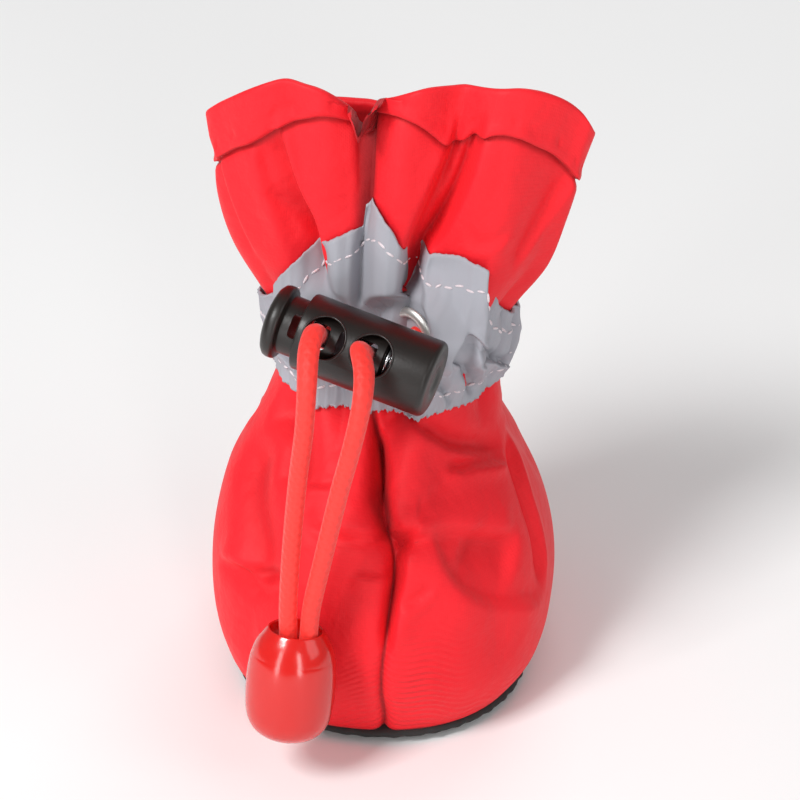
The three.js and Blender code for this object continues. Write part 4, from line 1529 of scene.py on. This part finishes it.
class BOOTIE_OT_sole(bpy.types.Operator):
    """Mould the outsole with its rim and grip dots, and lay the insole on it"""

    bl_idname = "bootie.sole"
    bl_label = "Add Sole"

    def execute(self, context):
        rings = [(share, 1.6, 0.4) for share in (0, 0.2, 0.4, 0.6, 0.75, 0.88, 0.96)]
        rings += [(1, 1.6, 0.4), (1, 1.0, 0.45), (1, 0.6, 0.55), (1, 0.25, 0.75), (1, 0.06, 1.0)]
        rings += [(1, 0, 1.3), (1, 0.04, 1.6), (1, 0.15, 1.9), (1, 0.4, 2.15), (1, 0.8, 2.3)]
        rings += [(1, 1.5, 2.4), (1, 2.4, 2.5)]
        rings += [(share, 2.4, 2.6) for share in (0.9, 0.7, 0.5, 0.3, 0)]
        outsole = finish_piece(slab_skin(rings, TOE_SPRING - 0.4), "rubber_outsole", "sole_rubber")
        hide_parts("outsole")

        top = SOLE_THICK + 0.1 + INSOLE_THICK
        rings = [(share, INSOLE_IN, 2.7) for share in (0, 0.5, 0.9)]
        rings += [(1, INSOLE_IN + 0.1, 2.7), (1, INSOLE_IN, 2.85), (1, INSOLE_IN, top - 0.2)]
        rings += [(1, INSOLE_IN + 0.1, top - 0.05), (1, INSOLE_IN + 0.3, top)]
        rings += [(share, INSOLE_IN + 0.3, top) for share in (0.9, 0.6, 0.3, 0)]
        insole = finish_piece(slab_skin(rings, 0), "fleece_insole", "insole_fleece")
        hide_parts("insole")

        dots = finish_piece(self.grip_dots(), "grip_dots", "sole_rubber")
        return {"FINISHED"}

    def grip_dots(self):
        """Low round dots in staggered rows under the flat of the sole."""
        bm = bmesh.new()
        row_pitch = DOT_PITCH * math.sqrt(3) / 2
        rows = int((SOLE_HEEL_Y - SOLE_TOE_Y) / row_pitch)
        columns = int(2 * SOLE_HALF_WIDTH / DOT_PITCH)
        outline = np.stack(sole_outline(np.linspace(0, 2 * np.pi, 90), 4.2), axis=1)
        for row in range(rows):
            y = SOLE_TOE_Y + (row + 0.5) * row_pitch
            half_width = np.max(np.where(np.abs(outline[:, 1] - y) < 1.6, outline[:, 0], -1))
            half_width -= SOLE_MIDDLE_X
            for column in range(-columns, columns):
                x = (column + 0.5 * (row % 2)) * DOT_PITCH
                if abs(x) > half_width:
                    continue
                spring = (TOE_SPRING - 0.4) * float(smooth(-12, SOLE_TOE_Y, y))
                place = Matrix.Translation((MM * (SOLE_MIDDLE_X + x), MM * y, MM * (0.4 + spring)))
                squashed = Matrix.Diagonal((DOT_R, DOT_R, 0.4, 1 / MM)) * MM
                bmesh.ops.create_uvsphere(
                    bm, u_segments=10, v_segments=6, radius=1, matrix=place @ squashed
                )
        return bm


def ripple_pattern(angle, level):
    """Strength and phase of the fine ripples where the toe is sewn: arcs right of the seam and
    fainter ones left of it."""
    from_seam = angle - read_table(SEAM_PATH, "z", "angle", level)
    right = np.exp(-(((from_seam - 12) / 11) ** 2)) * np.exp(-(((level - 13) / 6) ** 2))
    left = 0.45 * np.exp(-(((from_seam + 6) / 5) ** 2)) * np.exp(-(((level - 12) / 6) ** 2))
    low = 0.35 * np.exp(-(((level - 4.5) / 2.5) ** 2))
    bend = np.where(from_seam > 0, 0.11, -0.16) * from_seam
    wave = 0.5 * np.sin(np.radians(from_seam * 17))
    return right + left + low, (level + bend + wave) * 2 * np.pi / 1.05


class BOOTIE_OT_upper(bpy.types.Operator):
    """Sew the nylon upper, with its folds, seams and hem"""

    bl_idname = "bootie.upper"
    bl_label = "Add Upper"

    def execute(self, context):
        piece = finish_piece(self.skin(), "nylon_upper", "nylon")
        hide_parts("upper")
        return {"FINISHED"}

    def skin(self):
        """Rows run up the wall, round the hem and the collar's edge, and down the lining."""
        hem_from = TUCK_ROWS + WALL_ROWS
        plain_from = hem_from + len(HEM_SECTION["up"]) - 1
        rim_from = plain_from + HEM_ROWS
        lining_from = rim_from + len(RIM_SECTION["down"]) - 1
        last = lining_from + LINING_ROWS + 1

        def place(turn, row):
            angle = turn_to_angle(turn)
            hem = read_table(HEM_EDGE, "angle", "level", angle)
            row = np.rint(row).astype(int)
            hem_row = np.clip(row - hem_from, 0, len(HEM_SECTION["up"]) - 1)
            rim_row = np.clip(row - rim_from, 0, len(RIM_SECTION["down"]) - 1)
            wall_top = hem + HEM_SECTION["up"][0]
            hem_top = hem + HEM_SECTION["up"][-1]
            rim_low = COLLAR_Z - RIM_SECTION["down"][0]
            up_wall = np.clip((row - TUCK_ROWS) / WALL_ROWS, 0, 1)
            up_hem = np.clip((row - plain_from) / HEM_ROWS, 0, 1)
            down_lining = np.clip((row - lining_from) / LINING_ROWS, 0, 1)
            lining_top = COLLAR_Z - RIM_SECTION["down"][-1]
            hem_out, rim_out = HEM_SECTION["out"][-1], RIM_SECTION["out"][0]
            starts = (hem_from, plain_from, rim_from, lining_from)
            stretches = [row <= start for start in starts]
            levels = [
                UPPER_BOTTOM_Z + up_wall * (wall_top - UPPER_BOTTOM_Z),
                hem + HEM_SECTION["up"][hem_row],
                hem_top + up_hem * (rim_low - hem_top),
                COLLAR_Z - RIM_SECTION["down"][rim_row],
            ]
            offsets = [
                np.zeros_like(turn),
                HEM_SECTION["out"][hem_row],
                hem_out + up_hem * (rim_out - hem_out),
                RIM_SECTION["out"][rim_row],
            ]
            lining_level = lining_top + down_lining * (UPPER_BOTTOM_Z - lining_top)
            level = np.select(stretches, levels, lining_level)
            offset = np.select(stretches, offsets, -CLOTH_THICK)
            tucked = np.where(row == last, TUCK_ROWS, np.maximum(TUCK_ROWS - row, 0))
            at_side = np.exp(-(((np.abs(angle) - 90) / HEM_SIDE_WIDTH) ** 2))
            thinner = 1 - HEM_SIDE_THINNING * at_side
            offset = np.where(offset > 0, offset * thinner, offset)
            offset = np.where(row == last, 0, offset) - TUCK_IN * tucked
            sag = SAG_OVER_RIM * (1 - smooth(UPPER_BOTTOM_Z, SAG_BELOW_Z, level))
            outer = row <= lining_from
            relief = cloth_relief(angle, level, (*TOE_CREASES, *SHAFT_CREASES, *HEEL_CREASES))
            relief = soften(relief, turn, row)
            relief -= np.where(outer, 0, 0.4 * np.abs(relief))  # the lining stays inside the wall
            # Mask of painted shade, strongest where the creases sink deepest.
            hollow = smooth(0.6, 3.4, -relief) * outer
            relief += self.hem_dents(angle, level - hem, outer)
            points = cloth_points(angle, level, offset, relief)
            points[:, 2] -= TUCK_DOWN * tucked + sag
            ripple, phase = ripple_pattern(angle, level)
            attributes = {
                "inside": 1.0 - outer,
                "ripple": np.where(outer, ripple, 0),
                "ripple_phase": phase,
                "hollow": hollow,
                # Seam mask: the stitched line with painted shade of its groove, and a painted
                # shadow just under the hem.
                "seam": outer * np.maximum(
                    np.where(np.abs(angle) < 90, 1, REAR_SEAM_SHADE)
                    * np.exp(-((seam_distance(angle, level) / SEAM_SHADE_WIDTH) ** 2)),
                    HEM_LINE_SHADE
                    * np.exp(-(((level - hem + 0.3) / SEAM_SHADE_WIDTH) ** 2)),
                ),
            }
            return points, np.stack([turn * 78, level + 4 * (1 - outer)], axis=1), attributes

        return skin_grid(UPPER_COLUMNS, last, place)

    def hem_dents(self, angle, up, outer):
        """Small pits of uneven depth along the hem's stitches, and its waviness."""
        turn = angle / HEM_STITCH_PITCH
        from_stitch = (turn - np.rint(turn)) * HEM_STITCH_PITCH * HEM_MM_PER_DEGREE
        depth = HEM_PIT_DEPTH * (1 + np.sin(np.rint(turn) * 2.3))
        wide, high = HEM_PIT_SIZE
        pits = depth * np.exp(-((from_stitch / wide) ** 2) - ((up - HEM_STITCH_UP) / high) ** 2)
        wavy = HEM_WAVE * np.sin(np.radians(angle) * 13) * smooth(0, 1, up)
        return np.where(outer, wavy - pits, wavy)


def band_surface(angle, share):
    """The band's inner face at shares of its height: points' level, and offset from the cloth."""
    low = read_straight(BAND_EDGES, "angle", "low", angle)
    high = read_straight(BAND_EDGES, "angle", "high", angle)
    fray = 0.14 * np.sin(angle * 1.3) + 0.1 * np.sin(angle * 2.9 + 1) + 0.05 * np.sin(angle * 5.3)
    low = low + fray
    high = high + 0.3 * fray
    level = low + share * (high - low)
    away = (level - CHANNEL_Z) / CHANNEL_HALF_HEIGHT
    open_gap = BAND_GAP + CHANNEL_BULGE * np.exp(-away * away)
    from_edge = np.minimum(level - low, high - level)
    sewn = smooth(0, BAND_HEM + 1.2, from_edge)
    return level, BAND_EDGE_GAP + (open_gap - BAND_EDGE_GAP) * sewn


class BOOTIE_OT_band(bpy.types.Operator):
    """Sew the reflective band round the ankle, with its crumples and stitches"""

    bl_idname = "bootie.band"
    bl_label = "Add Reflective Band"

    def execute(self, context):
        band = finish_piece(self.skin(), "tape_band", "reflective_tape")
        for side, place, facing in EYELETS:
            bore = bmesh.new()
            turned = Vector(facing).to_track_quat("Z", "Y").to_matrix().to_4x4()
            middle = Vector(place) + Vector((BAND_HOLE_SHIFT[side], 0, 0))
            matrix = Matrix.Translation(middle * MM) @ turned
            bmesh.ops.create_cone(
                bore,
                cap_ends=True,
                segments=32,
                radius1=BAND_HOLE_R * MM,
                radius2=BAND_HOLE_R * MM,
                depth=8 * MM,
                matrix=matrix,
            )
            cut_away(band, cutter_object(bore))
        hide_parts("reflective_band")
        pitch = context.scene.bootie_sizes.stitch_pitch / MM
        stitches = finish_piece(self.stitches(pitch), "band_stitches", "sewing_thread")
        return {"FINISHED"}

    def relief(self, angle, level):
        relief = cloth_relief(angle, level, (*TOE_CREASES, *SHAFT_CREASES, *BAND_CREASES))
        return relief + 0.09 * np.sin(angle * 0.8) + 0.05 * np.sin(angle * 1.52 + 1)

    def points(self, angle, level, offset, relief):
        """The band's surface: the pleat's edge is raised last, so that it laps over the eyelet."""
        points = cloth_points(angle, level, offset, relief)
        normals = base_normal(angle, level)
        lap = crease_relief(folded_point(angle, level), normals, OVERLAP)
        return points + lap[..., None] * normals

    def skin(self):
        """Up the face of the tape, over its top edge, down its back and under to the start."""
        past, thick = BAND_EDGE_SECTION["past"], BAND_EDGE_SECTION["thick"]
        up, down = np.linspace(0, 1, BAND_ROWS), np.linspace(1, 0, BAND_LINING_ROWS)
        face, back = np.full_like(up, BAND_THICK), np.full_like(down, BAND_THICK - TAPE_THICK)
        shares = np.concatenate((up, 1 + past, down, -past[::-1], [0]))
        thickness = np.concatenate((face, thick, back, thick[::-1], [BAND_THICK]))

        def place(turn, row):
            row = np.rint(row).astype(int)
            angle = turn_to_angle(turn)
            level, offset = band_surface(angle, shares[row])
            relief = soften(self.relief(angle, level), turn, row)
            points = self.points(angle, level, offset + thickness[row], relief)
            # Mask of the tape's rounded edges, which get the painted highlight.
            edge = smooth(0.985, 1.0, np.abs(2 * shares[row] - 1))
            # The hollow mask carries painted shade where the tape sinks in.
            attributes = {"edge": edge, "hollow": smooth(0.3, 2.6, -relief)}
            return points, np.stack([turn * 62, level], axis=1), attributes

        return skin_grid(BAND_COLUMNS, len(shares) - 1, place)

    def stitches(self, pitch):
        """Short thread stitches along both edges of the band."""
        bm = bmesh.new()
        angle = np.linspace(-180, 180, 2400)
        for column in ("low", "high"):
            wave = 0.22 * np.sin(angle * 0.9) + 0.12 * np.sin(angle * 2.3)
            level = read_straight(STITCH_LINES, "angle", column, angle) + wave
            _, offset = band_surface(angle, self.share_of(angle, level))
            relief = self.relief(angle, level)
            line = self.points(angle, level, offset + BAND_THICK + 0.03, relief)
            out = self.points(angle, level, offset + BAND_THICK + 0.53, relief)
            run = run_lengths(line)
            for k in range(int(run[-1] / pitch)):
                start, end = (
                    np.array([np.interp((k + part) * pitch, run, line[:, j]) for j in range(3)])
                    for part in (0.1, 0.86)
                )
                middle = np.searchsorted(run, (k + 0.5) * pitch)
                if not self.near_eyelet(line[middle]):
                    add_stitch(bm, start, end, out[middle] - line[middle])
        return bm

    def share_of(self, angle, level):
        low = read_straight(BAND_EDGES, "angle", "low", angle)
        high = read_straight(BAND_EDGES, "angle", "high", angle)
        return (level - low) / (high - low)

    def near_eyelet(self, point):
        return any(np.linalg.norm(point - np.array(place)) < 5 for _, place, _ in EYELETS)


def add_stitch(bm, start, end, out):
    """One stitch: a low rounded piece of thread from start to end, in millimetres."""
    along = Vector(end - start)
    side = Vector(out).cross(along).normalized()
    over = along.normalized().cross(side)
    turned = Matrix((along.normalized(), side, over)).transposed().to_4x4()
    place = Matrix.Translation(Vector((start + end) / 2) * MM)
    size = Matrix.Diagonal((along.length / 2 * MM, 0.2 * MM, 0.17 * MM, 1))
    bmesh.ops.create_uvsphere(
        bm, u_segments=10, v_segments=6, radius=1, matrix=place @ turned @ size
    )


class BOOTIE_OT_eyelets(bpy.types.Operator):
    """Turn the two nickel eyelets and set them in the band"""

    bl_idname = "bootie.eyelets"
    bl_label = "Add Eyelets"

    def execute(self, context):
        for side, place, facing in EYELETS:
            away = (place[2] - CHANNEL_Z) / CHANNEL_HALF_HEIGHT
            seat = BAND_GAP + BAND_THICK + CHANNEL_BULGE * math.exp(-away * away) + 0.05
            bore, flange, thick = EYELET_HOLE_R, EYELET_FLANGE_R, EYELET_THICK
            profile = [
                (seat - 1.2, bore),
                (seat - 1.2, bore + 0.25),
                (seat - 0.1, bore + 0.3),
                (seat + 0.02, flange - 0.1),
                (seat + 0.15, flange),
                (seat + 0.4, flange - 0.06),
                (seat + 0.7, flange - 0.35),
                (seat + thick - 0.04, flange - 0.75),
                (seat + thick, bore + 0.55),
                (seat + thick - 0.1, bore + 0.28),
                (seat + thick - 0.35, bore + 0.08),
                (seat + 0.2, bore),
                (seat - 1.2, bore),
            ]
            bm = bmesh.new()
            turned = Vector(facing).to_track_quat("X", "Z").to_matrix().to_4x4()
            matrix = Matrix.Translation(Vector(place) * MM) @ turned
            spin_profile(bm, profile, 64, matrix)
            piece = finish_piece(bm, f"nickel_eyelet_{side}", "nickel")
            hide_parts(f"eyelet_{side}")
        return {"FINISHED"}


class BOOTIE_OT_lock(bpy.types.Operator):
    """Mould the cord lock's barrel and plunger, and wind its spring"""

    bl_idname = "bootie.lock"
    bl_label = "Add Cord Lock"

    def execute(self, context):
        frame_matrix = lock_frame()
        barrel = self.barrel(frame_matrix)
        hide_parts("lock_barrel")
        plunger = self.plunger(frame_matrix)
        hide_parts("lock_plunger")
        self.hole_rims(frame_matrix)
        self.spring(frame_matrix, context.scene.bootie_sizes.spring_turns)
        return {"FINISHED"}

    def barrel(self, matrix):
        end = -MOUTH_X
        blind = end - BARREL_END_WALL
        rounding = [
            (end - 0.9 + 0.9 * math.sin(turn), BARREL_R - 0.9 + 0.9 * math.cos(turn))
            for turn in np.linspace(0, math.pi / 2, 7)
        ]
        profile = [
            (blind, 0),
            (blind, BARREL_BORE_R),
            (MOUTH_X + 0.15, BARREL_BORE_R),
            (MOUTH_X, BARREL_BORE_R + 0.15),
            (MOUTH_X, BARREL_R - 0.35),
            (MOUTH_X + 0.1, BARREL_R - 0.1),
            (MOUTH_X + 0.35, BARREL_R),
            *rounding,
            (end, 2.2),
            (end - 0.25, 1.9),
            (end - 0.25, 0),
        ]
        bm = bmesh.new()
        spin_profile(bm, profile, 96, matrix)
        barrel = finish_piece(bm, "plastic_barrel", "lock_plastic")
        for x in LOCK_HOLES_FROM_MOUTH.values():
            bore = bmesh.new()
            bmesh.ops.create_cone(
                bore,
                cap_ends=True,
                segments=48,
                radius1=LOCK_HOLE_R * MM,
                radius2=LOCK_HOLE_R * MM,
                depth=4 * BARREL_R * MM,
                matrix=matrix @ Matrix.Translation(((MOUTH_X + x) * MM, 0, 0)),
            )
            cut_away(barrel, cutter_object(bore))
        barrel.data.shade_smooth()
        barrel.data.set_sharp_from_angle(angle=math.radians(40))
        return barrel

    def hole_rims(self, matrix):
        """The moulded lip round each cross hole, front and back."""
        lips = bmesh.new()
        for x in LOCK_HOLES_FROM_MOUTH.values():
            for face in (1, -1):
                turn = np.linspace(0, 2 * np.pi, 65)
                r = LOCK_HOLE_R + 0.06
                y = r * np.sin(turn)
                z = face * np.sqrt(BARREL_R**2 - y**2)
                path = np.stack([MOUTH_X + x + r * np.cos(turn), y, z], axis=1)
                radii = np.full((len(path), 2), 0.17)
                lip = tube_skin(path, 8, radii)
                mesh = bpy.data.meshes.new("lip")
                lip.to_mesh(mesh)
                lip.free()
                lips.from_mesh(mesh)
                bpy.data.meshes.remove(mesh)
        bmesh.ops.transform(lips, matrix=matrix, verts=lips.verts)
        piece = finish_piece(lips, "hole_lips", "lock_plastic")

    def plunger(self, matrix):
        inner = MOUTH_X - PLUNGER_REST_GAP
        outer = inner - PLUNGER_HEAD_THICK
        tip = MOUTH_X + PLUNGER_INSIDE
        head = PLUNGER_HEAD_R
        profile = [
            (outer + 0.25, 0),
            (outer + 0.25, 2.3),
            (outer + 0.05, 2.6),
            (outer, 3.0),
            (outer + 0.1, head - 1.4),
            (outer + 0.35, head - 0.7),
            (outer + 0.8, head - 0.16),
            (outer + 1.3, head),
            (inner - 0.5, head),
            (inner - 0.2, head - 0.08),
            (inner, head - 0.35),
            (inner, PLUNGER_R + 0.3),
            (inner + 0.25, PLUNGER_R),
            (tip - 0.25, PLUNGER_R),
            (tip, PLUNGER_R - 0.3),
            (tip, 0),
        ]
        bm = bmesh.new()
        spin_profile(bm, profile, 96, matrix)
        plunger = finish_piece(bm, "plastic_plunger", "lock_plastic", body="plunger")
        for x in LOCK_HOLES_FROM_MOUTH.values():
            cord = MOUTH_X + x - CORD_PINCH
            low = cord - CORD_R - CORD_CLEAR - PLUNGER_TRAVEL
            high = cord + CORD_R + CORD_CLEAR
            slot = bmesh.new()
            size = ((high - low) * MM, 2 * SLOT_HALF_WIDTH * MM, 4 * PLUNGER_R * MM, 1)
            place = Matrix.Translation(((low + high) / 2 * MM, 0, 0))
            bmesh.ops.create_cube(slot, size=1, matrix=matrix @ place @ Matrix.Diagonal(size))
            bmesh.ops.bevel(
                slot,
                geom=slot.edges[:],
                offset=0.6 * MM,
                offset_type="OFFSET",
                affect="EDGES",
                segments=3,
                profile=0.5,
                material=-1,
            )
            cut_away(plunger, cutter_object(slot))
        plunger.data.shade_smooth()
        plunger.data.set_sharp_from_angle(angle=math.radians(40))
        return plunger

    def spring(self, matrix, turns):
        """The steel spring between the plunger's tip and the barrel's end."""
        start = MOUTH_X + PLUNGER_INSIDE + SPRING_WIRE_R
        end = -MOUTH_X - BARREL_END_WALL - SPRING_WIRE_R
        share = np.linspace(0, 1, int(turns * 36))
        angle = share * turns * 2 * np.pi
        eased = smooth(0.06, 0.94, share)
        path = np.stack(
            [start + (end - start) * eased, SPRING_R * np.cos(angle), SPRING_R * np.sin(angle)],
            axis=1,
        )
        bm = tube_skin(path, 10, np.full((len(path), 2), SPRING_WIRE_R))
        bmesh.ops.transform(bm, matrix=matrix, verts=bm.verts)
        piece = finish_piece(bm, "lock_spring", "spring_steel")
        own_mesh(piece)


class BOOTIE_PT_panel(bpy.types.Panel):
    """Lists the parts of the bootie and their sizes"""

    bl_label = "Dog Bootie"
    bl_idname = "BOOTIE_PT_panel"
    bl_space_type = "VIEW_3D"
    bl_region_type = "UI"
    bl_category = "Dog Bootie"

    def draw(self, context):
        layout = self.layout
        for group in ("bootie_sizes", "bootie_colours", "bootie_stage"):
            settings = getattr(context.scene, group)
            box = layout.box()
            for name in settings.__annotations__:
                box.prop(settings, name)
        for operator in OPERATORS:
            layout.operator(operator.bl_idname)


OPERATORS = (
    BOOTIE_OT_finishes,
    BOOTIE_OT_stage,
    BOOTIE_OT_cords,
    BOOTIE_OT_sole,
    BOOTIE_OT_upper,
    BOOTIE_OT_band,
    BOOTIE_OT_eyelets,
    BOOTIE_OT_lock,
)
SETTINGS = (
    ("bootie_sizes", BootieSizes),
    ("bootie_colours", BootieColours),
    ("bootie_stage", BootieStage),
)


def register():
    for name, group in SETTINGS:
        bpy.utils.register_class(group)
        setattr(bpy.types.Scene, name, PointerProperty(type=group))
    for operator in OPERATORS:
        bpy.utils.register_class(operator)
    bpy.utils.register_class(BOOTIE_PT_panel)


def unregister():
    bpy.utils.unregister_class(BOOTIE_PT_panel)
    for operator in reversed(OPERATORS):
        bpy.utils.unregister_class(operator)
    for name, group in reversed(SETTINGS):
        delattr(bpy.types.Scene, name)
        bpy.utils.unregister_class(group)


def main():
    register()
    bpy.ops.bootie.finishes()
    bpy.ops.bootie.stage()
    bpy.ops.bootie.cords()
    bpy.ops.bootie.sole()
    bpy.ops.bootie.upper()
    bpy.ops.bootie.band()
    bpy.ops.bootie.eyelets()
    bpy.ops.bootie.lock()


if __name__ == "__main__":
    main()
